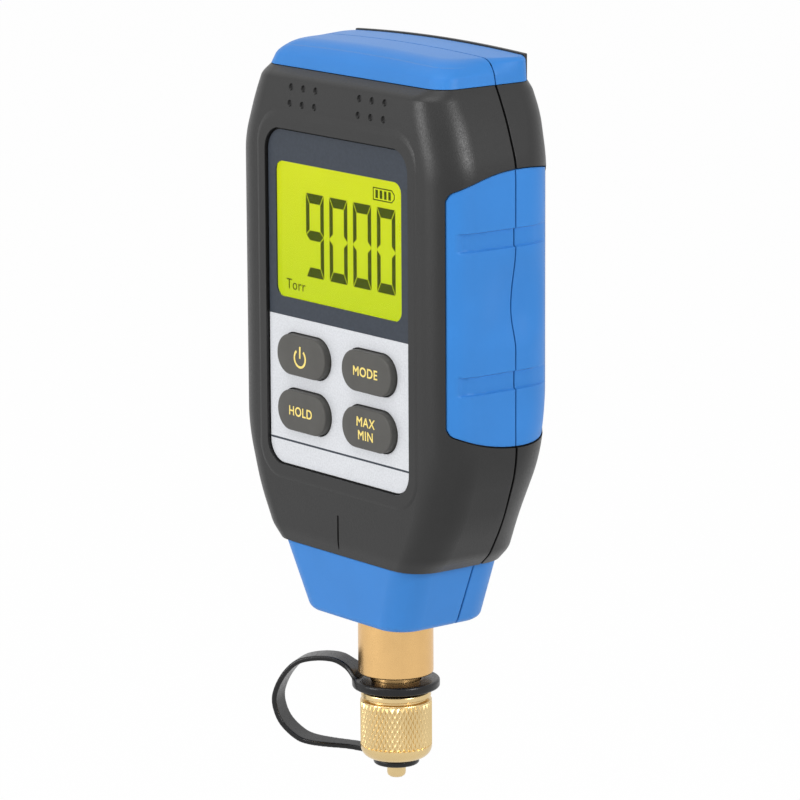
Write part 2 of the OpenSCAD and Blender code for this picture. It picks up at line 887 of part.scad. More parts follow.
module contact_strip() {
    strip_z = window_z - window_h / 2 + strip_h / 2;
    strip_y = glass_y + glass_t + seat;
    color("#c9c1ae")
    plate(window_w - 2, strip_h - 4 * fit, 0.2, strip_y, strip_z, board_y - strip_y - seat);
}

// One key: pillowed top, straight body through the panel, flange behind the wall and a foot
module key(col, row) {
    crown = 0.7;
    edge = 0.5;
    flange_y = wall_y + key_gap;
    flange_t = 0.8;
    foot_y = board_y - key_travel - seat;
    color(KEY)
    translate([col * key_pitch_x / 2, 0, key_z + row * key_pitch_z])
        rotate([90, 0, 0])
        union() {
            hull() {
                translate([0, 0, -flange_y - flange_t])
                    linear_extrude(key_top_y * -1 - crown + flange_y + flange_t)
                    obround(key_w, key_h);
                translate([0, 0, -key_top_y - crown]) {
                    linear_extrude(crown * 0.55) obround(key_w - edge, key_h - edge);
                    linear_extrude(crown) obround(key_w - 2.6, key_h - 2.6);
                }
            }
            translate([0, 0, -flange_y - flange_t])
                linear_extrude(flange_t)
                obround(key_w + 2, key_h + 2);
            translate([0, 0, -foot_y])
                linear_extrude(foot_y - flange_y - flange_t + eps)
                obround(key_w - 4, key_h - 3);
        }
}

module power_key() {
    key(-1, 1);
}

module mode_key() {
    key(1, 1);
}

module hold_key() {
    key(-1, 0);
}

module range_key() {
    key(1, 0);
}

module keypad_mat() {
    mat_t = key_travel + 0.6;
    mat_h = key_pitch_z + key_h + 4;
    color("#6d6a66")
    difference() {
        plate(key_pitch_x + key_w + 4, mat_h, 2, board_y - seat - mat_t, key_z + key_pitch_z / 2, mat_t);
        key_holes(-inf / 2, inf, key_gap - 1.5);
    }
}

module circuit_board() {
    color(GREEN)
    difference() {
        plate(board_w, board_top - board_z, 1.5, board_y, (board_top + board_z) / 2, board_t);
        for (p = board_screw_xz) {
            y_rod(board_screw_d / 2 + fit, p[0], -inf / 2, p[1], inf);
        }
    }
}

module controller_chip() {
    chip_w = 12;
    chip_t = 1.4;
    color("#2a2a2c")
    plate(chip_w, chip_w, 0.3, board_y + board_t + seat, key_z + key_pitch_z / 2, chip_t);
}

// Pan-headed screw along Y with its head at the rear, from the tip to the seat of the head
module screw(d, head_d, head_h, x, z, tip_y, seat_y) {
    y_rod(d / 2, x, tip_y, z, seat_y - tip_y + eps);
    difference() {
        y_rod(head_d / 2, x, seat_y, z, head_h);
        for (turn = [0, 90]) {
            translate([x, seat_y + head_h, z])
                rotate([0, turn, 0])
                cube([head_d * 0.62, head_h, d * 0.28], center = true);
        }
    }
}

module board_screws() {
    color(STEEL)
    for (p = board_screw_xz) {
        screw(board_screw_d, board_screw_d * 1.8, 1.3, p[0], p[1], wall_y + 0.6, board_y + board_t + seat);
    }
}

module case_screws() {
    color(STEEL)
    for (p = case_screw_xz) {
        screw(screw_d, screw_head_d, screw_head_h, p[0], p[1], screw_end_y, head_seat_y + seat);
    }
}

module battery_cells() {
    nub_r = 1.9;
    nub_h = 1;
    color("#c9b45e")
    for (i = cells) {
        translate([i * cell_pitch, cell_y, bay_z - cell_len / 2]) {
            cylinder(r = cell_d / 2, h = cell_len - nub_h, $fn = 2 * round_fn);
            cylinder(r = nub_r, h = cell_len, $fn = round_fn);
        }
    }
}

// Folded leaf springs at both ends of each cell
module battery_contacts() {
    leaf = 0.4;
    leaf_w = 6;
    back = bay_h / 2 - fit;
    tip = cell_len / 2 + fit;
    color(STEEL)
    for (i = cells, end = [0, 1]) {
        translate([i * cell_pitch, cell_y, bay_z])
            mirror([0, 0, end])
            rotate([90, 0, 90])
            translate([0, 0, -leaf_w / 2])
            linear_extrude(leaf_w)
            polygon([
                [-3, back], [3, back], [3, back - leaf], [leaf - 2.4, back - leaf],
                [1, tip + leaf], [2.4, tip + leaf + 0.8], [2.7, tip + 0.6], [1, tip],
                [-3, back - leaf]
            ]);
    }
}

function door_screw_z() = bay_z - door_h / 2 + door_rim / 2;

module battery_door() {
    sink = 1;
    color(BLACK)
    difference() {
        plate(door_w, door_h, door_r, case_rear - door_t, bay_z, door_t);
        y_rod(board_screw_d / 2 + fit, 0, 0, door_screw_z(), inf);
        y_rod(board_screw_d * 0.62 + fit, 0, case_rear - sink, door_screw_z(), inf);
        for (k = [0 : 4]) {
            translate([-groove_w / 2, case_rear - 0.4, bay_z + door_h / 2 - groove_top - groove_pitch * k])
                cube([groove_w, 1, 0.8]);
        }
    }
}

module door_screw() {
    color(STEEL)
    screw(board_screw_d, board_screw_d * 1.24, 0.9, 0, door_screw_z(), rear_wall_y, case_rear - 1 + seat);
}

// Turned brass stem with flare, thread length, neck, flange and the sensor's pocket
module port_stem() {
    edge = 0.5;
    color(BRASS)
    difference() {
        rotate_extrude($fn = 2 * round_fn)
            polygon([
                [0, 0], [thread_r - flare_h - 0.3, 0], [thread_r - 0.3, flare_h], [thread_r, flare_h + 0.3],
                [thread_r, thread_top], [neck_r, thread_top + neck_cut], [neck_r, stem_z],
                [stem_d / 2 - edge, stem_z], [stem_d / 2, stem_z + edge], [stem_d / 2, flange_z],
                [flange_d / 2, flange_z], [flange_d / 2, flange_z + flange_h],
                [stem_in_r, flange_z + flange_h], [stem_in_r, stem_top], [0, stem_top]
            ]);
        translate([0, 0, -1]) cylinder(r = bore_d / 2, h = chamber_z + 1 + eps, $fn = round_fn);
        translate([0, 0, chamber_z]) cylinder(r = chamber_r, h = inf, $fn = round_fn);
        translate([0, 0, seal_z]) cylinder(r = pocket_r, h = inf, $fn = round_fn);
    }
}

pin_angles = [45 : 90 : 315];
support_angles = [45, 225];

// Steel header with its pins
module sensor_header() {
    color(STEEL)
    difference() {
        union() {
            translate([0, 0, header_z]) cylinder(r = header_d / 2, h = header_h - seat, $fn = 2 * round_fn);
            for (a = support_angles) {
                rotate(a)
                    translate([pin_circle / 2, 0, header_z - post_reach])
                    cylinder(d = pin_d, h = post_reach + eps, $fn = small_fn);
            }
        }
        for (a = pin_angles) {
            rotate(a)
                translate([pin_circle / 2, 0, header_z + header_h / 2])
                cylinder(d = pin_d + 1.2, h = inf, $fn = small_fn);
        }
    }
}

// Glass beads in the header, each with its pin
module header_glass() {
    color(AMBER)
    for (a = pin_angles) {
        rotate(a) translate([pin_circle / 2, 0, header_z + header_h / 2 + seat]) {
            cylinder(d = pin_d + 1.2 - fit, h = header_h / 2 - 2 * seat, $fn = small_fn);
            cylinder(d = pin_d, h = header_h / 2 + ring_nut_h + 3, $fn = small_fn);
        }
    }
}

// Fine wire between the two long posts
module filament() {
    span = pin_circle - pin_d - 2 * seat;
    color("#8f9296")
    rotate(support_angles[0])
        translate([-span / 2, 0, header_z - post_reach + 1])
        rotate([0, 90, 0])
        cylinder(d = filament_d, h = span, $fn = small_fn);
}

module header_seal() {
    color(RUBBER)
    difference() {
        translate([0, 0, seal_z + seat])
            cylinder(r = pocket_r - fit, h = seal_t - 2 * seat, $fn = round_fn);
        cylinder(r = chamber_r, h = inf, $fn = round_fn);
    }
}

module retaining_ring() {
    color(BRASS)
    difference() {
        translate([0, 0, ring_nut_z]) cylinder(r = pocket_r - seat, h = ring_nut_h - seat, $fn = round_fn);
        cylinder(r = pin_circle / 2 + pin_d / 2 + 0.4, h = inf, $fn = round_fn);
        translate([-inf / 2, -0.6, stem_top - 1]) cube([inf, 1.2, inf]);
    }
}

// Flat ribbon from the header's pins to the foot of the circuit board
module sensor_ribbon() {
    ribbon_w = 8;
    ribbon_t = 0.3;
    bend = ring_nut_h * 1.25;
    end = board_z + board_screw_in * 1.35;
    low = stem_top + 1.2;
    back = board_y + board_t + seat;
    pad = pin_circle / 2 + 1.5;
    color("#c98a3a")
    difference() {
        translate([-ribbon_w / 2, 0, 0])
            rotate([90, 0, 90])
            linear_extrude(ribbon_w)
            polygon([
                [pad, low], [pad, low + ribbon_t], [back + bend, low + ribbon_t],
                [back + ribbon_t, low + bend], [back + ribbon_t, end], [back, end],
                [back, low + bend - ribbon_t], [back + bend - ribbon_t, low]
            ]);
        for (a = pin_angles) {
            rotate(a) translate([pin_circle / 2, 0, 0]) cylinder(d = pin_d + fit, h = inf, $fn = small_fn);
        }
    }
}

// Cap with a rim, a groove under it, a barrel, a rounded end and a rivet head for the strap
module closing_cap() {
    groove = 0.35;
    rim_r = cap_r - 0.2;
    end_r = cap_r - cap_round;
    rivet_end = rivet_z - rivet_h;
    steps = 6;
    color(BRASS)
    difference() {
        rotate_extrude($fn = 2 * round_fn)
            polygon([
                [0, rivet_end], [rivet_d / 2 - 0.8, rivet_end],
                [rivet_d / 2, rivet_end + 0.8], [rivet_d / 2, rivet_z],
                [rivet_neck_r, rivet_z], [rivet_neck_r, cap_z], [end_r, cap_z],
                for (k = [0 : steps])
                    let (a = 90 * k / steps)
                    [end_r + cap_round * sin(a), cap_z + cap_round * (1 - cos(a))],
                [cap_r, cap_top - cap_rim - groove], [rim_r - groove, cap_top - cap_rim - groove],
                [rim_r - groove, cap_top - cap_rim], [rim_r, cap_top - cap_rim], [rim_r, cap_top - groove],
                [rim_r - groove, cap_top], [0, cap_top]
            ]);
        translate([0, 0, gasket_z - seat]) cylinder(r = cap_in_r, h = inf, $fn = 2 * round_fn);
    }
}

module cap_gasket() {
    color(RUBBER)
    translate([0, 0, gasket_z]) cylinder(r = cap_in_r - 2 * fit, h = gasket_t, $fn = 2 * round_fn);
}

// Middle line of the strap's loop in its own upright plane, as [distance from the axis, z]
strap_points = [
    [ring_in_r + 1, ring_z + ring_t / 2],
    [ring_r, ring_z + ring_t / 2 + 0.4],
    [ring_r + strap_rise * 0.7, ring_z + strap_rise * 0.82],
    [strap_reach * 0.62, ring_z + strap_rise],
    [strap_reach * 0.83, ring_z + strap_rise * 0.62],
    [strap_reach, (ring_z + cap_ring_z) / 2 + strap_rise * 1.1],
    [strap_reach * 0.92, (ring_z + cap_ring_z) / 2 - 1],
    [strap_reach * 0.75, cap_ring_z + strap_rise * 0.73],
    [strap_reach * 0.5, cap_ring_z + ring_t],
    [cap_ring_d / 2, cap_ring_z + ring_t / 2],
    [rivet_d / 2 + 1, cap_ring_z + ring_t / 2]
];
strap_turn = 211;
strap_steps = 4;
strap_line = [
    for (i = [0 : len(strap_points) - 2], k = [0 : strap_steps - 1])
        spline(
            strap_points[max(i - 1, 0)], strap_points[i], strap_points[i + 1],
            strap_points[min(i + 2, len(strap_points) - 1)], k / strap_steps
        ),
    strap_points[len(strap_points) - 1]
];

function across(line, i) =
    let (
        a = line[max(i - 1, 0)],
        b = line[min(i + 1, len(line) - 1)],
        d = (b - a) / norm(b - a)
    )
    [-d[1], d[0]];

module strap_ring(z, outer_r, inner_r) {
    translate([0, 0, z])
    difference() {
        cylinder(r = outer_r, h = ring_t, $fn = 2 * round_fn);
        translate([0, 0, -1]) cylinder(r = inner_r, h = ring_t + 2, $fn = 2 * round_fn);
    }
}

module cap_strap() {
    last = len(strap_line) - 1;
    color(RUBBER)
    union() {
        strap_ring(ring_z, ring_r, ring_in_r);
        strap_ring(cap_ring_z, cap_ring_d / 2, rivet_neck_r + 2 * fit);
        rotate(strap_turn)
            translate([0, strap_w / 2, 0])
            rotate([90, 0, 0])
            linear_extrude(strap_w)
            polygon(concat(
                [for (i = [0 : last]) strap_line[i] + across(strap_line, i) * strap_t / 2],
                [for (i = [last : -1 : 0]) strap_line[i] - across(strap_line, i) * strap_t / 2]
            ));
    }
}

front_shell();
rear_shell();
front_top_bumper();
rear_top_bumper();
front_left_grip();
front_right_grip();
rear_left_grip();
rear_right_grip();
front_collar();
rear_collar();
display_label();
key_label();
display_window();
display_glass();
backlight();
display_frame();
contact_strip();
power_key();
mode_key();
hold_key();
range_key();
keypad_mat();
circuit_board();
controller_chip();
board_screws();
battery_cells();
battery_contacts();
battery_door();
door_screw();
case_screws();
port_stem();
sensor_header();
header_glass();
filament();
header_seal();
retaining_ring();
sensor_ribbon();
closing_cap();
cap_gasket();
cap_strap();
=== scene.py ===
"""Looks of a handheld vacuum gauge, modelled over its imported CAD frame.

Shapes are written in millimetres and turned into metres when a piece is finished.
"""

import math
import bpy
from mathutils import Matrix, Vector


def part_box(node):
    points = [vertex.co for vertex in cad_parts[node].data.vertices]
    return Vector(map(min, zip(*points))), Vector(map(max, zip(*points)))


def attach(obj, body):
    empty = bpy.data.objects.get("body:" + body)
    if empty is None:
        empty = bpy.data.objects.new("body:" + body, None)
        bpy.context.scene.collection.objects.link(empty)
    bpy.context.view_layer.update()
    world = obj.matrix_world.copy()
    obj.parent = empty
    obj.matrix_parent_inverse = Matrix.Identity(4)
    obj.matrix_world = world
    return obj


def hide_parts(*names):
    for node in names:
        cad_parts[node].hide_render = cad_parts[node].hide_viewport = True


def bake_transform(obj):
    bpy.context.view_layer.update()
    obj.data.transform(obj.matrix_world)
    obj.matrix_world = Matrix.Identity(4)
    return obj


bl_info = {
    "name": "Handheld vacuum gauge",
    "version": (1, 0, 0),
    "blender": (4, 5, 0),
    "location": "View3D > Sidebar > Gauge",
    "description": "Case, soft grips, display, keys and brass port of a handheld vacuum gauge",
    "category": "Object",
}

import bmesh
import bpy
from bpy.props import FloatProperty, FloatVectorProperty, IntProperty, PointerProperty, StringProperty
from mathutils import Matrix, Vector
from mathutils.bvhtree import BVHTree

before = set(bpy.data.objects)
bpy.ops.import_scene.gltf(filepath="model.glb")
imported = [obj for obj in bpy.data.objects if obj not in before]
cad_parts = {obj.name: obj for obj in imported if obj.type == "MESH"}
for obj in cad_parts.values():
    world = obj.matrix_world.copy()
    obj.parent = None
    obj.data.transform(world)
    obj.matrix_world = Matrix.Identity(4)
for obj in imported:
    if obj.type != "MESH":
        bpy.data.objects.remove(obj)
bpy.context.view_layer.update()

MM = 0.001


def edge_of(node, axis, high):
    """Lowest or highest coordinate of a CAD node, in mm."""
    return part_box(node)[1 if high else 0][axis] / MM


def plate_of(node):
    """Middle x and z, width and height of a CAD node, in mm."""
    low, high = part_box(node)
    return (low.x + high.x) / 2 / MM, (low.z + high.z) / 2 / MM, (high.x - low.x) / MM, (high.z - low.z) / MM


# Main places, read from the CAD nodes, in mm
COLLAR_Z = edge_of("front_collar", 2, False)
COLLAR_TOP = edge_of("front_collar", 2, True)
BUMPER_Z = edge_of("front_top_bumper", 2, False)
BUMPER_TOP = edge_of("front_top_bumper", 2, True)
BUMPER_REAR = edge_of("rear_top_bumper", 1, True)
GRIP_Z = (edge_of("front_right_grip", 2, False) + edge_of("front_right_grip", 2, True)) / 2
SEAM_FRONT = edge_of("front_top_bumper", 1, True)
SEAM_REAR = edge_of("rear_top_bumper", 1, False)
SEAM_Y = (SEAM_FRONT + SEAM_REAR) / 2
LABEL_Y = edge_of("display_label", 1, False)
PANEL_Z = (edge_of("key_label", 2, False) + edge_of("display_label", 2, True)) / 2
GLASS_Y = edge_of("display_glass", 1, False)
SKIN = 1.3
SKIN_GAP = 0.15
WALL = 2.8
CASE_Z = COLLAR_TOP + SKIN_GAP
CASE_TOP = BUMPER_Z - SKIN_GAP
FRONT_Y = -15.2
REAR_Y = 16.6

# Openings and fittings of the case; plates are (width, height, corner radius)
STEM_HOLE_R = 8.1
FLANGE_HOLE_R = 10.7
PAD = (53.0, 77.6, 7.0)
PAD_FOOT = 0.3
RECESS = (47.7, 71.7, 4.95)
KEY_HOLE = (17.1, 9.2, 4.55)
KEY_SIZE = (16.5, 8.6, 4.25)
DIMPLES_X = (-15.6, -11.45, -7.3, 7.3, 11.45, 15.6)
DIMPLES_DOWN = (6.8, 3.4)
DIMPLE = (0.55, 1.25, 1.45)
GROOVE = (0.5, 0.7, 9.6)
GROOVE_UP = 3.8
DOOR_CORNER = 3.1
PLAY = 0.2
FIN_T = 0.9
LIP_T = 0.8
LIP_GAP = 0.02
KEYS = ["power_key", "mode_key", "hold_key", "range_key"]
SCREWS = [(s * 15.6, CASE_Z + 9.0) for s in (-1, 1)] + [(s * 21.0, CASE_TOP - 9.2) for s in (-1, 1)]
BOSS_R, WELL_R, SHANK_R = 4.4, 2.8, 1.55
BOSS_Y, WELL_Y, SHANK_Y = 7.0, 8.0, 2.0
OUTSIDE_Y = 30.0

# Sections, each (z, half width, front, rear, radius of the front corners, radius of the rear corners)
CASE_CORNERS = [
    (CASE_Z, 24.64, 14.6, 12.7, 6.5, 8.5),
    (CASE_Z + 2.6, 27.5, 15.2, 13.4, 7.5, 9.5),
    (CASE_Z + 10.35, 32.09, 15.2, 14.6, 8.0, 14.0),
    (CASE_Z + 22.5, 36.25, 15.2, 16.6, 8.4, 14.0),
    (CASE_Z + 33.08, 36.25, 15.2, 16.6, 8.4, 10.7),
    (CASE_TOP - 15.5, 36.25, 15.2, 16.6, 8.4, 10.7),
    (CASE_TOP - 6.51, 33.0, 14.9, 16.6, 8.2, 8.6),
    (CASE_TOP - 1.6, 30.6, 14.2, 15.8, 7.0, 7.2),
    (CASE_TOP, 29.7, 11.4, 14.6, 4.8, 6.0),
]
CASE_REACH = [0, 1.0, 3.4, 4.4, 4.0, 3.2, 2.4, 0.7, 0]
COLLAR_CORNERS = [
    (COLLAR_Z, 16.71, 12.92, 13.02, 6.5, 7.2),
    (COLLAR_TOP, 22.7, 14.6, 12.6, 6.5, 7.2),
]
# The top bumper's sections run on past its flat rear face
BUMPER_BACK = BUMPER_REAR + 1.84
BUMPER_HALF = 29.7
BUMPER_FRONT = 11.2
BUMPER_R = 4.6
BUMPER_CORNERS = [(z, half, front, BUMPER_BACK, BUMPER_R, BUMPER_R) for z, half, front in (
    (BUMPER_Z, BUMPER_HALF, BUMPER_FRONT),
    (BUMPER_Z + 3.36, 28.8, 10.0),
    (BUMPER_TOP, 26.3, 6.8),
    (BUMPER_TOP + 0.02, 20.5, 1.5),
)]
BUMPER_REACH = [0, 1.4, 2.2, 0]
# Its ends at the rear: lean over the whole height, rounding at the top and the share of height where that starts
END_LEAN, END_ROUND, END_ROUND_AT = 0.3, 0.9, 0.86
END_WIDEST = 1.18
# Its top falls by the crown towards the ends of the fin behind it
CROWN = 0.85
FIN_HALF = 28.6

# Soft grips, seen from the side
GRIP_FRONT = -13.2
GRIP_REAR = 15.2
GRIP_H = 57.6
ARCH_R = 42.0
ARCH_Y = 5.0
BAND_AT = 14.7
BAND_H = 4.0
BAND_D = 0.6
BAND_INSET = 1.8
BAND_EDGE = 0.24
BAND_CUTS = (-2.0, -1.85, -1.7, 1.7, 1.85, 2.0)
DIP_D = 1.6
DIP_UP = 12.5
DIP_DOWN = 8.5
PROUD = -0.25
GRIP_GAP = 0.3
GRIP_CORNER = 1.2


def length_prop(label, what, size):
    """Length that is written in mm."""
    return FloatProperty(name=label, description=what, default=size * MM, unit="LENGTH")


class GaugeSizes(bpy.types.PropertyGroup):
    """Sizes of the fine detail."""

    seam_edge: length_prop("Seam edge", "Rounding along the parting line of the hard case", 0.3)
    seam_gap: length_prop("Seam gap", "Width of the parting line of the hard case", 0.55)
    soft_edge: length_prop("Soft edge", "Rounding along the edges of the soft parts", 0.3)
    pad_rise: length_prop("Panel pad", "Height of the low pad around the front panel", 0.14)
    thread_pitch: length_prop("Thread pitch", "Distance between the turns of the port's thread", 1.27)
    knurl_depth: length_prop("Knurl depth", "Depth of the diamond knurl on the cap", 0.36)
    knurl_count: IntProperty(name="Knurls", description="Number of diamonds around the cap", default=44,
                             subtype="UNSIGNED")
    digit_h: length_prop("Digit height", "Height of the digits on the display", 17.6)
    legend_h: length_prop("Legend height", "Height of the words on the keys", 2.0)
    reading: StringProperty(name="Reading", description="Four figures shown on the display", default="9000")


def linear(code):
    """Linear colour of an sRGB hex value."""
    parts = [int(code[i : i + 2], 16) / 255 for i in (0, 2, 4)]
    return tuple(c / 12.92 if c <= 0.04045 else ((c + 0.055) / 1.055) ** 2.4 for c in parts)


def colour_prop(label, what, code):
    """Colour that is written as an sRGB hex value."""
    return FloatVectorProperty(name=label, description=what, default=linear(code), subtype="COLOR", size=3,
                               min=0.0, max=1.0)


class GaugeColours(bpy.types.PropertyGroup):
    """Colours of the finishes."""

    case: colour_prop("Case", "Hard moulded case", "1e1e1e")
    soft: colour_prop("Soft parts", "Soft-touch bumpers, grips and collar", "2c7ac6")
    slate: colour_prop("Display label", "Printed film around the display", "343a43")
    silver: colour_prop("Key label", "Silver film around the keys", "d1d3d7")
    lit: colour_prop("Display", "Lit display", "cfdf1e")
    ink: colour_prop("Display ink", "Dark segments of the display", "39430f")
    key: colour_prop("Keys", "Dark silicone keys", "4c4b48")
    legend: colour_prop("Legends", "Print on the keys", "f0d878")
    brass: colour_prop("Brass", "Turned brass of the stem", "e2b87c")
    cap: colour_prop("Cap", "Pale brass of the closing cap", "dcc28e")
    rubber: colour_prop("Rubber", "Black rubber of the strap", "0f0f10")


# Small tools for meshes

UPRIGHT = Matrix.Rotation(math.radians(90), 4, "X")


def mix(a, b, t):
    """Numbers at a share t of the way from a to b."""
    return tuple(p + (q - p) * t for p, q in zip(a, b))


def eased(corners, reach, steps=10):
    """The sections with their inner corners turned into curves."""
    made = []
    for i, corner in enumerate(corners):
        if not reach[i]:
            made.append(corner)
            continue
        ends = []
        for other in (corners[i - 1], corners[i + 1]):
            rise = abs(corner[0] - other[0])
            run = rise if rise > 0.1 else abs(corner[2] - other[2])
            ends.append(mix(corner, other, min(reach[i] / run, 0.5)))
        for k in range(steps + 1):
            t = k / steps
            made.append(mix(mix(ends[0], corner, t), mix(corner, ends[1], t), t))
    return made


def quarter(steps):
    """Sine and cosine at each step of a quarter turn."""
    return [(math.sin(a), math.cos(a)) for a in (math.radians(90 * k / steps) for k in range(steps + 1))]


def slice_at(bm, place, way, reach, clear=False):
    """Cuts the whole mesh along a plane; clear drops the side that the plane looks to."""
    everything = bm.verts[:] + bm.edges[:] + bm.faces[:]
    bmesh.ops.bisect_plane(bm, geom=everything, plane_co=place, plane_no=way, clear_outer=clear, dist=reach)


def round_edges(bm, edges, r):
    bmesh.ops.bevel(bm, geom=edges, offset=r, affect="EDGES", segments=3, profile=0.5, material=-1,
                    clamp_overlap=True)


def push_out(bm, faces, way):
    """Gives flat faces a thickness; returns the vertices of the new side."""
    made = bmesh.ops.extrude_face_region(bm, geom=faces, use_keep_orig=True)["geom"]
    verts = [v for v in made if isinstance(v, bmesh.types.BMVert)]
    bmesh.ops.translate(bm, verts=verts, vec=way)
    return verts


def face_outwards(bm):
    bmesh.ops.recalc_face_normals(bm, faces=bm.faces)


def sink(v, r, deep):
    """Moves a vertex at radius r towards the Z axis."""
    v.co.x *= (r - deep) / r
    v.co.y *= (r - deep) / r


def ring(bm, section, grow, arcs):
    """Flat face with round corners in the plan of one section."""
    z, half, front, rear, front_r, rear_r = section
    corners = bmesh.ops.create_grid(bm, x_segments=1, y_segments=1, size=1.0)["verts"]
    for v in corners:
        v.co = (v.co.x * (half + grow), rear + grow if v.co.y > 0 else -front - grow, z)
    middle = (rear - front) / 2
    ends = [[v for v in corners if v.co.y < middle], [v for v in corners if v.co.y > middle]]
    for verts, r in zip(ends, (front_r, rear_r)):
        made = bmesh.ops.bevel(bm, geom=verts, offset=max(r + grow, 0.05), affect="VERTICES", segments=arcs,
                               profile=0.5, material=-1)
    return made["verts"][0].link_faces[0]


def loft(bm, sections, grow=0.0, arcs=12):
    """Closed skin through a list of sections; returns its vertices."""
    before = set(bm.verts)
    last = len(sections) - 1
    below = None
    for i, section in enumerate(sections):
        face = ring(bm, section, grow, arcs)
        rim = list(face.edges)
        if 0 < i < last:
            bmesh.ops.delete(bm, geom=[face], context="FACES_ONLY")
        if below:
            bmesh.ops.bridge_loops(bm, edges=below + rim)
        below = rim
    made = [v for v in bm.verts if v not in before]
    bmesh.ops.recalc_face_normals(bm, faces=list({f for v in made for f in v.link_faces}))
    return made


def stack(bm, w, h, r, levels, x=0.0, z=0.0, arcs=8):
    """Upright rounded plate; levels are (y, grow) from one end to the other."""
    made = loft(bm, [(-y, w / 2 + g, h / 2 + g, h / 2 + g, r + g, r + g) for y, g in levels], arcs=arcs)
    bmesh.ops.rotate(bm, verts=made, cent=(0, 0, 0), matrix=UPRIGHT)
    bmesh.ops.translate(bm, verts=made, vec=(x, 0, z))


def cone(bm, r0, r1, depth, place, segments):
    bmesh.ops.create_cone(bm, cap_ends=True, segments=segments, radius1=r0, radius2=r1, depth=depth, matrix=place)


def rod(bm, r, x, z, y0, y1):
    """Round bar along Y."""
    cone(bm, r, r, abs(y1 - y0), Matrix.Translation((x, (y0 + y1) / 2, z)) @ UPRIGHT, 32)


def post(bm, r, middle, depth, segments):
    """Round bar about the Z axis."""
    cone(bm, r, r, depth, Matrix.Translation((0, 0, middle)), segments)


def lathe(bm, profile, steps):
    """Turns a closed profile of (radius, z) points about the Z axis."""
    verts = [bm.verts.new((r, 0.0, z)) for r, z in profile]
    edges = [bm.edges.new(pair) for pair in zip(verts, verts[1:] + verts[:1])]
    bmesh.ops.spin(bm, geom=verts + edges, cent=(0, 0, 0), axis=(0, 0, 1), angle=2 * math.pi, steps=steps,
                   use_merge=True)
    bmesh.ops.remove_doubles(bm, verts=bm.verts, dist=1e-4)
    face_outwards(bm)


def split(bm, side, edge=0.0, plane=None):
    """Keeps the front (-1) or rear (+1) half, closes it and rounds the cut's edge."""
    if plane is None:
        plane = SEAM_FRONT if side < 0 else SEAM_REAR
    slice_at(bm, (0, plane, 0), (0, -side, 0), 1e-5, clear=True)
    rim = [e for e in bm.edges if e.is_boundary]
    bmesh.ops.holes_fill(bm, edges=rim, sides=0)
    face_outwards(bm)
    if edge:
        round_edges(bm, rim, edge)


def made_by(shape, *values, **settings):
    """New mesh in mm from one of the shape tools."""
    bm = bmesh.new()
    shape(bm, *values, **settings)
    return bm


def object_of(name, bm):
    """New object from a mesh in mm; the bmesh is used up."""
    bmesh.ops.scale(bm, vec=(MM, MM, MM), verts=bm.verts)
    mesh = bpy.data.meshes.new(name)
    bm.to_mesh(mesh)
    bm.free()
    piece = bpy.data.objects.new(name, mesh)
    bpy.context.scene.collection.objects.link(piece)
    return piece


def bake(piece):
    """Applies a piece's modifiers to its mesh."""
    deps = bpy.context.evaluated_depsgraph_get()
    old = piece.data
    mesh = bpy.data.meshes.new_from_object(piece.evaluated_get(deps))
    piece.modifiers.clear()
    piece.data = mesh
    bpy.data.meshes.remove(old)
    mesh.name = piece.name


def carve(piece, cutter, how="DIFFERENCE"):
    """Cuts a mesh in mm out of a piece, or adds it."""
    tool = object_of("carving_tool", cutter)
    mod = piece.modifiers.new("carve", "BOOLEAN")
    mod.operation = how
    mod.solver = "MANIFOLD"
    mod.object = tool
    bake(piece)
    mesh = tool.data
    bpy.data.objects.remove(tool)
    bpy.data.meshes.remove(mesh)
    if not piece.data.polygons:
        raise RuntimeError(piece.name + " is empty after a cut")


def cut(piece, shape, *values, **settings):
    """Cuts one of the shape tools' meshes out of a piece."""
    carve(piece, made_by(shape, *values, **settings))


def dress(piece, finish_name, body="root", replaces=(), angle=32.0, weighted=True):
    """Gives a piece its finish, shading, body and the nodes that it stands for."""
    piece.data.materials.clear()
    piece.data.materials.append(bpy.data.materials[finish_name])
    piece.data.shade_smooth()
    piece.data.set_sharp_from_angle(angle=math.radians(angle))
    if weighted:
        mod = piece.modifiers.new("even_shading", "WEIGHTED_NORMAL")
        mod.keep_sharp = True
    if body:
        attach(piece, body)
    if replaces:
        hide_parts(*replaces)


# The case's side surface and the grips on it

CASE = eased(CASE_CORNERS, CASE_REACH)


def section_at(sections, z):
    """The section of a list at one height."""
    for low, high in zip(sections, sections[1:]):
        if z <= high[0]:
            break
    return mix(low, high, (z - low[0]) / (high[0] - low[0]))


def side_x(y, z, grow):
    """Half width of the case at one depth and height."""
    _, half, front, rear, front_r, rear_r = section_at(CASE, z)
    r = front_r if y < SEAM_Y else rear_r
    over = max(r - front - y if y < SEAM_Y else y - (rear - r), 0.0)
    return half - r + math.sqrt(max((r + grow) ** 2 - over**2, 0.0))


def grip_reach(y, inset):
    """Half height of the grips at one depth."""
    reach = math.sqrt(ARCH_R**2 - (y - ARCH_Y) ** 2) - (ARCH_R - GRIP_H / 2) - inset
    for gap in (y - GRIP_FRONT - inset, GRIP_REAR - inset - y):
        short = max(GRIP_CORNER - gap, 0.0)
        reach -= GRIP_CORNER - math.sqrt(max(GRIP_CORNER**2 - short**2, 0.0))
    return reach


def ramp(x, low, high):
    """Smooth rise from 0 at low to 1 at high."""
    t = min(max((x - low) / (high - low), 0.0), 1.0)
    return t * t * (3 - 2 * t)


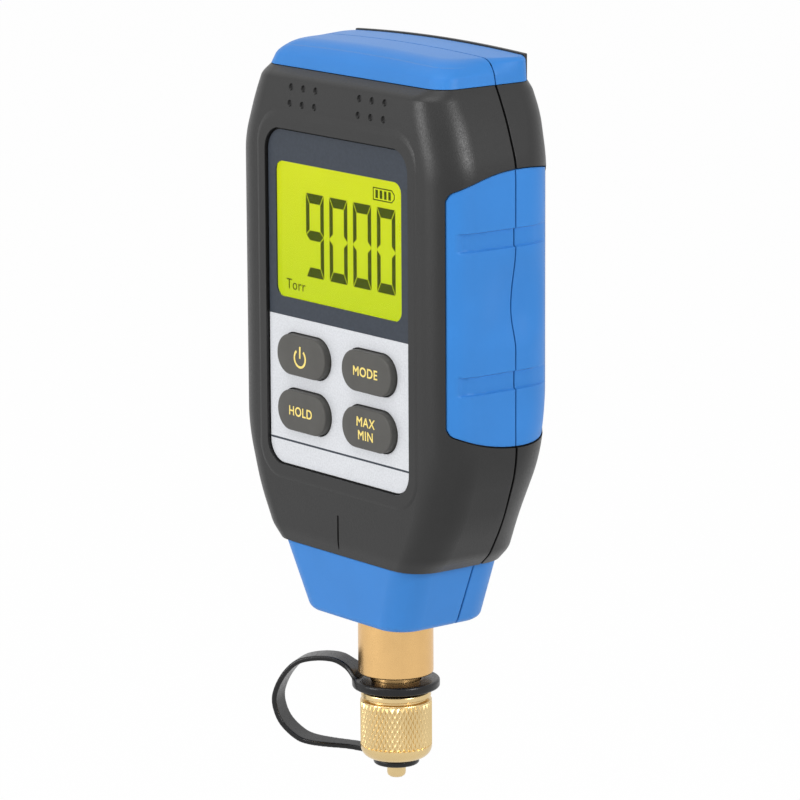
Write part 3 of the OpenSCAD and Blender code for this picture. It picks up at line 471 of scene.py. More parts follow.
def dip(y, z):
    """Depth of the finger dip: deepest at the parting line, fading to the front and the rear."""
    up = z - GRIP_Z
    share = max(1 - (up / (DIP_UP if up > 0 else DIP_DOWN)) ** 2, 0.0)
    return DIP_D * share**2 * (1 - ramp(abs(y - SEAM_Y), 0.5, 10.5))


def grip_x(y, z):
    """Outside of a grip: a little below the case's own surface, with two bands and a finger dip."""
    up = abs(z - GRIP_Z)
    band = ramp(up, BAND_AT - BAND_H / 2, BAND_AT - BAND_H / 2 + BAND_EDGE)
    band *= 1 - ramp(up, BAND_AT + BAND_H / 2 - BAND_EDGE, BAND_AT + BAND_H / 2)
    band *= ramp(y, GRIP_FRONT + BAND_INSET, GRIP_FRONT + BAND_INSET + 1.6)
    band *= 1 - ramp(y, GRIP_REAR - BAND_INSET - 4.5, GRIP_REAR - 0.8)
    return side_x(y, z, PROUD - BAND_D * band) - dip(y, z)


def grip_seat(y, z, deep):
    """Surface under a grip, which follows the finger dip."""
    return side_x(y, z, -deep) - 0.75 * dip(y, z)


def grip_patch(bm, side, y0, y1, inset, outer, inner, columns, rows, cuts=False):
    """Closed patch of the case's side between an outer and an inner surface; returns its rim."""
    grid = bmesh.ops.create_grid(bm, x_segments=columns, y_segments=rows, size=1.0)["verts"]
    for v in grid:
        y = y0 + (y1 - y0) * (v.co.x + 1) / 2
        v.co = (0.0, y, GRIP_Z + v.co.y * grip_reach(y, inset))
    if cuts:
        for z in [GRIP_Z + s * (BAND_AT + t) for s in (-1, 1) for t in BAND_CUTS]:
            slice_at(bm, (0, 0, z), (0, 0, 1), 0.03)
    rim = [e for e in bm.edges if e.is_boundary]
    old = bm.verts[:]
    made = push_out(bm, bm.faces[:], (0, 0, 0))
    for verts, surface in ((old, outer), (made, inner)):
        for v in verts:
            v.co.x = side * surface(v.co.y, v.co.z)
    face_outwards(bm)
    return rim


# Finishes


def add_node(tree, kind, values=None, **settings):
    """Adds a shader node, sets its fields and its sockets; a socket given as a value is linked."""
    node = tree.nodes.new(kind)
    for name, value in settings.items():
        setattr(node, name, value)
    for name, value in (values or {}).items():
        if isinstance(value, bpy.types.NodeSocket):
            tree.links.new(value, node.inputs[name])
        elif isinstance(value, (tuple, list)) and len(value) == 3 and len(node.inputs[name].default_value) == 4:
            node.inputs[name].default_value = (*value, 1.0)
        else:
            node.inputs[name].default_value = value
    return node


def fresh_tree(owner):
    """Empty node tree of a new material or world."""
    owner.use_nodes = True
    owner.node_tree.nodes.clear()
    return owner.node_tree


def shades(tree, share, low, high, spots=(0.0, 1.0)):
    """Colour that runs from low to high."""
    node = add_node(tree, "ShaderNodeValToRGB", {"Fac": share})
    for element, spot, colour in zip(node.color_ramp.elements, spots, (low, high)):
        element.position = spot
        element.color = (*colour, 1.0)
    return node.outputs["Color"]


def finish(name, colour, roughness, grain=0.4, relief=0.01, drift=0.08, patch=9.0, spread=0.06, specular=0.5,
           **sockets):
    """Surface with a fine grain in mm, a slow drift of its shade and an uneven gloss."""
    material = bpy.data.materials.new(name)
    tree = fresh_tree(material)
    place = add_node(tree, "ShaderNodeTexCoord").outputs["Object"]
    fine = add_node(tree, "ShaderNodeTexNoise",
                    {"Vector": place, "Scale": 1 / (grain * MM), "Detail": 3.0, "Roughness": 0.6}).outputs["Fac"]
    slow = add_node(tree, "ShaderNodeTexNoise",
                    {"Vector": place, "Scale": 1 / (patch * MM), "Detail": 4.0}).outputs["Fac"]
    dark = tuple(c * (1 - drift) for c in colour)
    light = tuple(min(c * (1 + drift), 1.0) for c in colour)
    gloss = add_node(tree, "ShaderNodeMapRange",
                     {"Value": fine, "From Min": 0.3, "From Max": 0.7,
                      "To Min": max(roughness - spread, 0.02), "To Max": min(roughness + spread, 1.0)})
    bump = add_node(tree, "ShaderNodeBump", {"Height": fine, "Strength": 1.0, "Distance": relief * MM})
    surface = add_node(tree, "ShaderNodeBsdfPrincipled",
                       {"Base Color": shades(tree, slow, dark, light, (0.3, 0.7)),
                        "Roughness": gloss.outputs["Result"], "Normal": bump.outputs["Normal"],
                        "Specular IOR Level": specular, **sockets})
    add_node(tree, "ShaderNodeOutputMaterial", {"Surface": surface.outputs["BSDF"]})
    return material


def part(material, kind):
    """The one node of a kind in a material."""
    return next(n for n in material.node_tree.nodes if n.bl_idname == kind)


def case_finishes(tone):
    """Finishes of the hard case, the soft parts and the labels."""
    # Spark-eroded mould: the light breaks up on a grain that is just visible
    finish("moulded_case_plastic", tone["case"], 0.39, grain=0.32, relief=0.03, drift=0.06, spread=0.08,
           specular=0.38)
    # Soft-touch elastomer: matt with a pale bloom at grazing angles
    finish("soft_touch_elastomer", tone["soft"], 0.5, grain=0.2, relief=0.004, drift=0.04, patch=14.0, spread=0.05,
           specular=0.32, **{"Sheen Weight": 0.08, "Sheen Roughness": 0.5})
    # Printed polyester film: a light satin tooth over the dark print
    finish("slate_printed_film", tone["slate"], 0.46, grain=0.2, relief=0.006, drift=0.1, patch=0.6, specular=0.22)
    # Silver print: small flakes catch the light one by one
    finish("silver_printed_film", tone["silver"], 0.42, grain=0.2, relief=0.006, drift=0.09, patch=0.35,
           spread=0.1, specular=0.3, Metallic=0.2)


def display_finishes(lit, ink):
    """The lit glass, the ink on it and the clear window in front."""
    # Backlit glass: glows by itself, a little brighter and warmer towards its upper edge
    glass = finish("backlit_display_glass", tuple(c * 0.08 for c in lit), 0.4, grain=0.5, relief=0.001, drift=0.02,
                   patch=6.0, specular=0.03)
    tree = glass.node_tree
    place = add_node(tree, "ShaderNodeSeparateXYZ", {"Vector": part(glass, "ShaderNodeTexCoord").outputs["Object"]})
    low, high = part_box("display_glass")
    height = add_node(tree, "ShaderNodeMapRange",
                      {"Value": place.outputs["Z"], "From Min": low.z, "From Max": high.z})
    glow = shades(tree, height.outputs["Result"], (lit[0] * 0.86, lit[1] * 0.9, lit[2] * 0.9),
                  (min(lit[0] * 1.08, 1.0), lit[1], lit[2]))
    surface = part(glass, "ShaderNodeBsdfPrincipled")
    tree.links.new(glow, surface.inputs["Emission Color"])
    surface.inputs["Emission Strength"].default_value = 0.92
    # Segment ink: dark olive, because some of the back light leaks through it
    finish("display_segment_ink", ink, 0.6, grain=0.3, relief=0.001, drift=0.1, patch=2.0, specular=0.03,
           **{"Emission Color": ink, "Emission Strength": 0.35})
    # Clear plastic with an anti-glare coat: hardly any reflection, so its IOR is that of the coated face
    finish("clear_window_plastic", (0.98, 0.99, 0.96), 0.04, grain=4.0, relief=0.0002, drift=0.01, spread=0.01,
           **{"Transmission Weight": 1.0, "IOR": 1.1})


def key_finishes(tone):
    """Finishes of the keys and of the print on them."""
    # Coated silicone: dull, with a slight silky shine on the rounded rims
    finish("coated_silicone_key", tone["key"], 0.5, grain=0.22, relief=0.006, drift=0.06, patch=4.0, spread=0.08,
           specular=0.3, **{"Sheen Weight": 0.04})
    # Pad print: opaque yellow ink that follows the key
    finish("yellow_pad_print", tone["legend"], 0.55, grain=0.12, relief=0.003, drift=0.1, patch=0.8)


def brass_finish(name, colour, roughness):
    # Turned brass: fine lathe rings drawn around the axis make the highlight satin
    brass = finish(name, colour, roughness, grain=0.25, relief=0.002, drift=0.05, patch=5.0, Metallic=1.0)
    tree = brass.node_tree
    place = part(brass, "ShaderNodeTexCoord").outputs["Object"]
    stretch = add_node(tree, "ShaderNodeMapping", {"Vector": place, "Scale": (0.02, 0.02, 1.0)})
    rings = add_node(tree, "ShaderNodeTexNoise",
                     {"Vector": stretch.outputs["Vector"], "Scale": 1 / (0.12 * MM), "Detail": 2.0})
    grain = part(brass, "ShaderNodeBump")
    both = add_node(tree, "ShaderNodeBump",
                    {"Height": rings.outputs["Fac"], "Strength": 1.0, "Distance": 0.004 * MM,
                     "Normal": grain.outputs["Normal"]})
    tree.links.new(both.outputs["Normal"], part(brass, "ShaderNodeBsdfPrincipled").inputs["Normal"])


def inner_finishes(tone):
    """Finishes of the strap and of the pieces inside the case and at its back."""
    # Moulded rubber: deep black with a soft wide shine and faint scuffs
    finish("moulded_black_rubber", tone["rubber"], 0.3, grain=0.5, relief=0.006, drift=0.12, patch=3.0, spread=0.1,
           specular=0.35)
    # Lacquered board: green with the weave just showing
    finish("green_lacquered_board", linear("2f6b45"), 0.4, grain=0.5, drift=0.15, patch=3.0)
    # Moulded resin: grey-black and dull
    finish("moulded_chip_resin", linear("2a2a2c"), 0.6, grain=0.1, relief=0.006)
    # Zinc plating: bright with cloudy patches
    finish("zinc_plated_steel", linear("b9bcc0"), 0.34, relief=0.002, drift=0.1, patch=1.5, Metallic=1.0)
    # Nickel strip: even and mirror-like, slightly warm
    finish("nickel_spring_strip", linear("c9c6bf"), 0.25, grain=0.3, relief=0.001, drift=0.06, Metallic=1.0)
    # Printed sleeve: warm metallic film
    finish("printed_cell_sleeve", linear("c9b45e"), 0.35, grain=0.6, relief=0.002, drift=0.12, patch=6.0,
           Metallic=0.5)
    # White housing plastic: milky and even
    finish("white_frame_plastic", linear("eceae2"), 0.45, grain=0.3, relief=0.003, drift=0.03)
    # Light guide: milky and glowing faintly at its edges
    finish("milky_light_guide", linear("eef2d8"), 0.3, grain=0.6, relief=0.001, drift=0.03,
           **{"Subsurface Weight": 0.2})
    # Layered conductive rubber: grey-tan and matt
    finish("layered_contact_rubber", linear("c9c1ae"), 0.7, grain=0.2, relief=0.004, drift=0.14, patch=0.4)
    # Keypad silicone: grey and powdery
    finish("grey_keypad_silicone", linear("6d6a66"), 0.65, grain=0.25, relief=0.004, drift=0.06)
    # Sealing glass: amber and glossy
    finish("amber_sealing_glass", linear("c8923c"), 0.12, grain=0.5, relief=0.001, drift=0.1, patch=1.0)
    # Ribbon film: amber over copper tracks
    finish("amber_ribbon_film", linear("c98a3a"), 0.3, relief=0.002, drift=0.12, patch=1.0)


# Finishes of the CAD nodes that stay
CAD_FINISHES = {
    "slate_printed_film": ["display_label"],
    "silver_printed_film": ["key_label"],
    "clear_window_plastic": ["display_window"],
    "backlit_display_glass": ["display_glass"],
    "milky_light_guide": ["backlight"],
    "white_frame_plastic": ["display_frame"],
    "layered_contact_rubber": ["contact_strip"],
    "grey_keypad_silicone": ["keypad_mat"],
    "green_lacquered_board": ["circuit_board"],
    "moulded_chip_resin": ["controller_chip"],
    "zinc_plated_steel": ["board_screws", "case_screws", "door_screw", "sensor_header", "filament"],
    "printed_cell_sleeve": ["battery_cells"],
    "nickel_spring_strip": ["battery_contacts"],
    "turned_brass": ["retaining_ring"],
    "amber_sealing_glass": ["header_glass"],
    "moulded_black_rubber": ["header_seal", "cap_gasket"],
    "amber_ribbon_film": ["sensor_ribbon"],
    "moulded_case_plastic": ["battery_door"],
}


class GAUGE_OT_finishes(bpy.types.Operator):
    """Make every finish and give it to the CAD nodes that stay"""

    bl_idname = "gauge.finishes"
    bl_label = "Finishes"

    def execute(self, context):
        tone = {name: tuple(getattr(context.scene.gauge_colours, name))
                for name in GaugeColours.__annotations__}
        case_finishes(tone)
        display_finishes(tone["lit"], tone["ink"])
        key_finishes(tone)
        brass_finish("turned_brass", tone["brass"], 0.3)
        brass_finish("pale_knurled_brass", tone["cap"], 0.28)
        inner_finishes(tone)
        for name, nodes in CAD_FINISHES.items():
            for node in nodes:
                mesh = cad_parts[node].data
                mesh.materials.clear()
                mesh.materials.append(bpy.data.materials[name])
        return {"FINISHED"}


def bumper_loft(bm, grow):
    """Top bumper: a cushion with round shoulders and a flat rear, crowned along its length."""
    rows = eased(BUMPER_CORNERS, BUMPER_REACH, 8)
    loft(bm, rows, grow, arcs=14)
    for k in range(-10, 11):
        slice_at(bm, (k * 2.5, 0, 0), (1, 0, 0), 1e-3)
    for k in range(-4, 6):
        slice_at(bm, (0, SEAM_Y + 1.5 * k, 0), (0, 1, 0), 1e-3)
    for v in bm.verts:
        # The ends stand upright at the rear and lean inwards at the front
        up = min((v.co.z - BUMPER_Z) / (BUMPER_TOP - BUMPER_Z), 1.0)
        late = max((up - END_ROUND_AT) / (1 - END_ROUND_AT), 0.0)
        upright = BUMPER_HALF - END_LEAN * up - END_ROUND * late**2
        wider = min(upright / section_at(rows, v.co.z)[1], END_WIDEST)
        v.co.x *= 1 + (wider - 1) * ramp(v.co.y, SEAM_Y - 5.0, BUMPER_REAR - 1.0)
        v.co.z -= CROWN * (v.co.x / FIN_HALF) ** 2 * ramp(v.co.z, BUMPER_Z + 0.5, BUMPER_TOP)
    split(bm, -1, plane=BUMPER_REAR + grow)


class GAUGE_OT_case(bpy.types.Operator):
    """Build the two halves of the hard case"""

    bl_idname = "gauge.case"
    bl_label = "Hard case"

    def execute(self, context):
        sizes = context.scene.gauge_sizes
        half_gap = sizes.seam_gap / 2 / MM
        for side, name, node in ((-1, "case_front_half", "front_shell"), (1, "case_rear_half", "rear_shell")):
            bm = made_by(loft, CASE, arcs=14)
            split(bm, side, sizes.seam_edge / MM, SEAM_Y + side * half_gap)
            piece = object_of(name, bm)
            self.add_cores(piece, side)
            if side < 0:
                self.add_pad(piece, sizes.pad_rise / MM)
            else:
                self.add_fin(piece)
                self.add_lip(piece, SEAM_Y - half_gap + LIP_GAP)
            self.cut_inside(piece)
            self.cut_pockets(piece)
            if side < 0:
                self.cut_front(piece)
            else:
                self.cut_back(piece)
            dress(piece, "moulded_case_plastic", replaces=[node], angle=28)
        return {"FINISHED"}

    def add_cores(self, piece, side):
        """Hard cores under the collar and the top bumper; those of the rear half close the joint."""
        foot, top = COLLAR_CORNERS
        start = mix(foot, top, (SKIN + SKIN_GAP) / (COLLAR_TOP - COLLAR_Z))
        plinth = (BUMPER_HALF, BUMPER_FRONT, BUMPER_REAR, BUMPER_R, BUMPER_R)
        for sections, inset in (
            ([start, top, (CASE_Z + 1.0, *top[1:])], SKIN + 0.5),
            ([(CASE_TOP - 1.0, *plinth), (BUMPER_Z + 2.0, *plinth)], SKIN + 1.2),
        ):
            bm = made_by(loft, sections, -inset, arcs=8)
            split(bm, side, plane=SEAM_FRONT + (LIP_GAP if side > 0 else 0.0))
            carve(piece, bm, "UNION")

    def add_pad(self, piece, rise):
        """Low pad with soft edges around the front panel."""
        levels = [(FRONT_Y + 1.2, 1.6)]
        for t in (k / 8 for k in range(9)):
            levels.append((FRONT_Y + PAD_FOOT - (rise + PAD_FOOT) * ramp(t, 0.0, 1.0), 1.5 - 2.3 * t))
        carve(piece, made_by(stack, *PAD, levels, z=PANEL_Z, arcs=12), "UNION")

    def add_fin(self, piece):
        """Fin behind the top bumper."""
        bm = bmesh.new()
        for v in bmesh.ops.create_grid(bm, x_segments=24, y_segments=1, size=1.0)["verts"]:
            z = BUMPER_TOP + 0.4 - CROWN * v.co.x**2 if v.co.y > 0 else CASE_TOP - 1
            v.co = (v.co.x * (FIN_HALF - 0.8), BUMPER_REAR + SKIN_GAP, z)
        push_out(bm, bm.faces[:], (0, FIN_T, 0))
        face_outwards(bm)
        round_edges(bm, [e for e in bm.edges if len(e.link_faces) == 2 and e.calc_face_angle() > 0.7], 0.18)
        carve(piece, bm, "UNION")

    def add_lip(self, piece, y):
        """Inner lip that reaches the front half and keeps light out of the joint."""
        bm = made_by(loft, [s for s in CASE if CASE_Z + 1.2 < s[0] < CASE_TOP - 1.2], LIP_T - WALL, arcs=8)
        split(bm, 1, plane=y)
        carve(piece, bm, "UNION")

    def cut_inside(self, piece):
        """Hollow of the case, and the openings for the stem and its flange."""
        inner = [s for s in eased(CASE_CORNERS, CASE_REACH, 3) if CASE_Z + 3.4 < s[0] < CASE_TOP - 3.0]
        cut(piece, loft, inner, -WALL, arcs=6)
        cut(piece, post, STEM_HOLE_R, COLLAR_Z, 40.0, 64)
        cut(piece, post, FLANGE_HOLE_R, COLLAR_Z + 13.1, 20.0, 48)

    def cut_pockets(self, piece):
        """Seats of the soft grips."""
        for side in (-1, 1):
            cut(piece, grip_patch, side, GRIP_FRONT, GRIP_REAR, 0.0, lambda y, z: side_x(y, z, 3.0),
                lambda y, z: grip_seat(y, z, SKIN + SKIN_GAP / 2), 64, 48)

    def cut_front(self, piece):
        """Panel recess, window, key holes, dimples and the groove up the chin."""
        lip = 0.3
        mouth = [(FRONT_Y - 1.0, lip)]
        mouth += [(FRONT_Y - 0.25 + lip * (1 - cos), lip * (1 - sin)) for sin, cos in quarter(4)]
        cut(piece, stack, *RECESS, mouth + [(FRONT_Y + 1.0, 0.0)], z=PANEL_Z, arcs=12)
        for node, r, deep in (("display_window", 1.5, edge_of("display_window", 1, True) + 0.05),
                              ("display_glass", 0.5, FRONT_Y + 5.0)):
            _, z, w, h = plate_of(node)
            cut(piece, stack, w + PLAY, h + PLAY, r, [(FRONT_Y, 0.0), (deep, 0.0)], z=z)
        for node in KEYS:
            x, z, _, _ = plate_of(node)
            cut(piece, stack, *KEY_HOLE, [(FRONT_Y, 0.0), (FRONT_Y + 5.0, 0.0)], x=x, z=z, arcs=12)
        for x in DIMPLES_X:
            for z in (CASE_TOP - down for down in DIMPLES_DOWN):
                place = Matrix.Translation((x, -section_at(CASE, z)[2] - 0.3, z)) @ UPRIGHT
                cut(piece, cone, *DIMPLE, place, 24)
        groove = Matrix.Translation((0, FRONT_Y, CASE_Z + GROOVE_UP)) @ Matrix.Diagonal((*GROOVE, 1.0))
        cut(piece, bmesh.ops.create_cube, size=1.0, matrix=groove)

    def cut_back(self, piece):
        """Battery door's seat, the screw bosses and their wells."""
        _, z, w, h = plate_of("battery_door")
        levels = [(edge_of("battery_door", 1, False) - 0.1, 0.0), (REAR_Y - 0.25, 0.0), (REAR_Y, 0.2),
                  (REAR_Y + 1.0, 0.5)]
        cut(piece, stack, w + PLAY, h + PLAY, DOOR_CORNER, levels, z=z, arcs=10)
        for x, z in SCREWS:
            carve(piece, made_by(rod, BOSS_R, x, z, BOSS_Y, section_at(CASE, z)[3] - 1.0), "UNION")
            cut(piece, rod, WELL_R, x, z, WELL_Y, OUTSIDE_Y)
            cut(piece, rod, SHANK_R, x, z, SHANK_Y, OUTSIDE_Y)


class GAUGE_OT_soft_parts(bpy.types.Operator):
    """Build the soft bumpers, grips and collars"""

    bl_idname = "gauge.soft_parts"
    bl_label = "Soft parts"

    def execute(self, context):
        edge = context.scene.gauge_sizes.soft_edge / MM
        for side, word in ((-1, "front"), (1, "rear")):
            self.bumper(side, word, edge)
            self.collar(side, word, edge)
            for hand, hand_word in ((-1, "left"), (1, "right")):
                self.grip(side, word, hand, hand_word, edge)
        return {"FINISHED"}

    def bumper(self, side, word, edge):
        bm = made_by(bumper_loft, 0.0)
        split(bm, side, edge)
        piece = object_of("soft_top_" + word, bm)
        bm = made_by(bumper_loft, -SKIN)
        bmesh.ops.translate(bm, verts=bm.verts, vec=(0, 0, -SKIN))
        carve(piece, bm)
        dress(piece, "soft_touch_elastomer", replaces=[word + "_top_bumper"], angle=45)

    def collar(self, side, word, edge):
        foot, top = COLLAR_CORNERS
        tall = COLLAR_TOP - COLLAR_Z
        r = 1.4
        rows = []
        for sin, cos in quarter(6):
            at = mix(foot, top, r * (1 - cos) / tall)
            rows.append((at[0], *(size - r * (1 - sin) for size in at[1:])))
        rows += [mix(foot, top, 0.98), (top[0], *(size - 0.2 for size in top[1:]))]
        bm = made_by(loft, rows, arcs=14)
        split(bm, side, edge)
        piece = object_of("soft_collar_" + word, bm)
        cut(piece, loft, [mix(foot, top, SKIN / tall), (top[0] + 1, *top[1:])], -SKIN, arcs=10)
        cut(piece, post, STEM_HOLE_R, COLLAR_Z, 40.0, 96)
        dress(piece, "soft_touch_elastomer", replaces=[word + "_collar"], angle=45)

    def grip(self, side, word, hand, hand_word, edge):
        bm = bmesh.new()
        y0, y1 = (SEAM_FRONT, GRIP_FRONT + GRIP_GAP) if side < 0 else (SEAM_REAR, GRIP_REAR - GRIP_GAP)
        rim = grip_patch(bm, hand, y0, y1, GRIP_GAP, grip_x, lambda y, z: grip_seat(y, z, SKIN), 30, 96, cuts=True)
        round_edges(bm, rim, edge)
        name = word + "_" + hand_word
        piece = object_of("soft_grip_" + name, bm)
        dress(piece, "soft_touch_elastomer", replaces=[name + "_grip"], angle=50)


# Front panel: display figures and printed line

PRINT = (0, -0.04, 0)
SEGMENTS = {
    "0": "abcdef", "1": "bc", "2": "abged", "3": "abgcd", "4": "fgbc",
    "5": "afgcd", "6": "afgedc", "7": "abc", "8": "abcdefg", "9": "abcdfg",
}
# Place of the first digit from the middle of the glass, step to the next, and widths of a digit and its strokes
DIGIT_X, DIGIT_Z, DIGIT_STEP = -11.6, -9.2, 7.92
DIGIT_W, BAR_W, POST_W, SEGMENT_GAP = 6.0, 2.05, 1.3, 0.16
# Battery sign and unit from the middle of the glass, and the line near the foot of the key label
CELL_X, CELL_Z = 10.9, 9.7
UNIT_X, UNIT_Z, UNIT_H = -15.3, -11.7, 2.3
LINE = (46.9, 0.42, 0.05)
LINE_UP = 5.05


def ink_plate(bm, points, x, z, y):
    """Thin flat piece of ink; its outline's points are (x, z) from a corner at x, z."""
    push_out(bm, [bm.faces.new([bm.verts.new((x + px, y, z + pz)) for px, pz in points])], PRINT)


def digit(bm, figure, x, z, h, y):
    """Seven-segment figure with its lower left corner at x, z."""
    w, bar, post, g = DIGIT_W, BAR_W, POST_W, SEGMENT_GAP
    m = h / 2
    tip = post * 0.8
    bar_top = [(g, h), (w - g, h), (w - post, h - bar), (post, h - bar)]
    left = [(0, h - g), (post - g, h - bar - g), (post - g, m + tip + g), (0, m + g)]
    right = [(w - px, pz) for px, pz in reversed(left)]
    shapes = {"a": bar_top, "f": left, "b": right}
    for lower, upper in (("d", "a"), ("e", "f"), ("c", "b")):
        shapes[lower] = [(px, h - pz) for px, pz in reversed(shapes[upper])]
    shapes["g"] = [(g, m), (post, m + bar / 2), (w - post, m + bar / 2), (w - g, m), (w - post, m - bar / 2),
                   (post, m - bar / 2)]
    for letter in SEGMENTS[figure]:
        ink_plate(bm, shapes[letter], x, z, y)


def fatten(bm, bold):
    """Moves the outline of flat letters outwards, without the spikes of a mitred offset."""
    pushes = {}
    for e in bm.edges:
        if not e.is_boundary:
            continue
        a, b = (v.co for v in e.verts)
        out = (b - a).cross(Vector((0, 0, 1)))
        if out.dot(e.link_faces[0].calc_center_median() - a) > 0:
            out.negate()
        for v in e.verts:
            pushes[v] = pushes.get(v, Vector()) + out.normalized()
    for v, push in pushes.items():
        v.co += push.normalized() * bold


def lettering(bm, words, height, x, z, y, bold=0.0):
    """Adds words as a thin mesh, centred on x and z and facing -Y, in mm."""
    curve = bpy.data.curves.new("words", "FONT")
    curve.body = words
    curve.align_x = "CENTER"
    curve.align_y = "CENTER"
    curve.size = height * 1.38
    curve.space_line = 1.02
    curve.space_character = 1.08
    text = bpy.data.objects.new("words", curve)
    bpy.context.scene.collection.objects.link(text)
    deps = bpy.context.evaluated_depsgraph_get()
    mesh = bpy.data.meshes.new_from_object(text.evaluated_get(deps))
    letters = bmesh.new()
    letters.from_mesh(mesh)
    bmesh.ops.remove_doubles(letters, verts=letters.verts, dist=1e-4)
    fatten(letters, bold)
    letters.to_mesh(mesh)
    letters.free()
    before = set(bm.verts)
    bm.from_mesh(mesh)
    fresh = [v for v in bm.verts if v not in before]
    bmesh.ops.rotate(bm, verts=fresh, cent=(0, 0, 0), matrix=UPRIGHT)
    bmesh.ops.translate(bm, verts=fresh, vec=(x, y, z))
    push_out(bm, list({f for v in fresh for f in v.link_faces}), PRINT)
    bpy.data.objects.remove(text)
    bpy.data.curves.remove(curve)
    bpy.data.meshes.remove(mesh)


class GAUGE_OT_display(bpy.types.Operator):
    """Draw the figures and signs on the display, and the line on the key label"""

    bl_idname = "gauge.display"
    bl_label = "Display"

    def execute(self, context):
        sizes = context.scene.gauge_sizes
        _, z, _, _ = plate_of("display_glass")
        y = GLASS_Y - 0.01
        bm = bmesh.new()
        for k, figure in enumerate(sizes.reading):
            digit(bm, figure, DIGIT_X + DIGIT_STEP * k, z + DIGIT_Z, sizes.digit_h / MM, y)
        self.cell_sign(bm, CELL_X, z + CELL_Z, y)
        lettering(bm, "Torr", UNIT_H, UNIT_X, z + UNIT_Z, y)
        face_outwards(bm)
        dress(object_of("display_figures", bm), "display_segment_ink", weighted=False)
        line_z = edge_of("key_label", 2, False) + LINE_UP
        levels = [(LABEL_Y - 0.02, 0.0), (LABEL_Y + 0.01, 0.0)]
        piece = object_of("key_label_line", made_by(stack, *LINE, levels, z=line_z, arcs=1))
        dress(piece, "slate_printed_film", weighted=False)
        return {"FINISHED"}

    def cell_sign(self, bm, x, z, y):
        """Outline of a battery with a blunt point and four bars."""
        w, h, t = 7.1, 2.7, 0.24
        outer = [(0, 0), (w - 0.9, 0), (w, h * 0.32), (w, h * 0.68), (w - 0.9, h), (0, h)]
        inner = [(t, t), (w - 1.0, t), (w - t, h * 0.36), (w - t, h * 0.64), (w - 1.0, h - t), (t, h - t)]
        for k in range(6):
            n = (k + 1) % 6
            ink_plate(bm, (outer[k], outer[n], inner[n], inner[k]), x, z, y)
        for k in range(4):
            ink_plate(bm, [(0, 0.5), (0.8, 0.5), (0.8, h - 0.5), (0, h - 0.5)], x + 0.85 + 1.4 * k, z, y)


LEGENDS = {"mode_key": "MODE", "hold_key": "HOLD", "range_key": "MAX\nMIN"}
# Foot and flange under a key's oval body, each level (y, grow)
KEY_FOOT = [(-11.5, -2.0), (-11.3, 1.0), (-12.05, 1.0), (-12.1, 0.0)]
KEY_RIM, KEY_DOME, DOME_REACH = 0.38, 0.16, 3.4


class GAUGE_OT_keys(bpy.types.Operator):
    """Build the four pillowed keys and print their legends"""

    bl_idname = "gauge.keys"
    bl_label = "Keys"

    def execute(self, context):
        sizes = context.scene.gauge_sizes
        for node in KEYS:
            x, z, _, _ = plate_of(node)
            top = edge_of(node, 1, False)
            r, dome = KEY_RIM, KEY_DOME
            levels = [(edge_of(node, 1, True), -2.0), *KEY_FOOT, (top + dome + r, 0.0)]
            levels += [(top + dome + r * (1 - sin), -r * (1 - cos)) for sin, cos in quarter(6)[1:]]
            levels += [(top + dome * (1 - t) ** 2, -r - DOME_REACH * t) for t in (0.2, 0.4, 0.6, 0.8, 1.0)]
            bm = made_by(stack, *KEY_SIZE, levels, x=x, z=z, arcs=14)
            surface = BVHTree.FromBMesh(bm)
            piece = object_of("pillowed_" + node, bm)
            dress(piece, "coated_silicone_key", body=node, replaces=[node], angle=60, weighted=False)
            self.legend(node, surface, x, z, top, sizes.legend_h / MM)
        return {"FINISHED"}

    def legend(self, node, surface, x, z, top, height):
        """Print that lies on the key's own curve."""
        bm = bmesh.new()
        if node in LEGENDS:
            lettering(bm, LEGENDS[node], height, x, z, top, bold=0.055)
        else:
            self.power_sign(bm, x, z, top)
        face_outwards(bm)
        bmesh.ops.subdivide_edges(bm, edges=[e for e in bm.edges if e.calc_length() > 0.5], cuts=1)
        for v in bm.verts:
            lift = v.co.y - top
            hit = surface.ray_cast(Vector((v.co.x, top - 5.0, v.co.z)), Vector((0, 1, 0)))[0]
            v.co.y = (hit.y if hit else top) + lift - 0.015
        piece = object_of("print_" + node, bm)
        dress(piece, "yellow_pad_print", body=node, weighted=False)

    def power_sign(self, bm, x, z, y):
        """Open ring with an upright bar."""
        grid = bmesh.ops.create_grid(bm, x_segments=40, y_segments=1, size=1.0)["verts"]
        for v in grid:
            a = math.radians(90 + 38 + (v.co.x + 1) / 2 * 284)
            r = 2.1 if v.co.y > 0 else 1.62
            v.co = (x + r * math.cos(a), y, z - 0.3 + r * math.sin(a))
        bar = bmesh.ops.create_grid(bm, x_segments=1, y_segments=4, size=1.0)["verts"]
        for v in bar:
            v.co = (x + 0.24 * v.co.x, y, z + 0.95 + 1.25 * v.co.y)
        push_out(bm, bm.faces[:], PRINT)


THREAD_LOW, THREAD_HIGH = 2.1, 11.7
THREAD_CREST, THREAD_ROOT, THREAD_FLAT = 5.555, 4.85, 0.12
# Heights over which the groove starts at the flare and ends at the neck
RUN_IN, RUN_OUT = (2.0, 3.0), (10.9, 11.75)


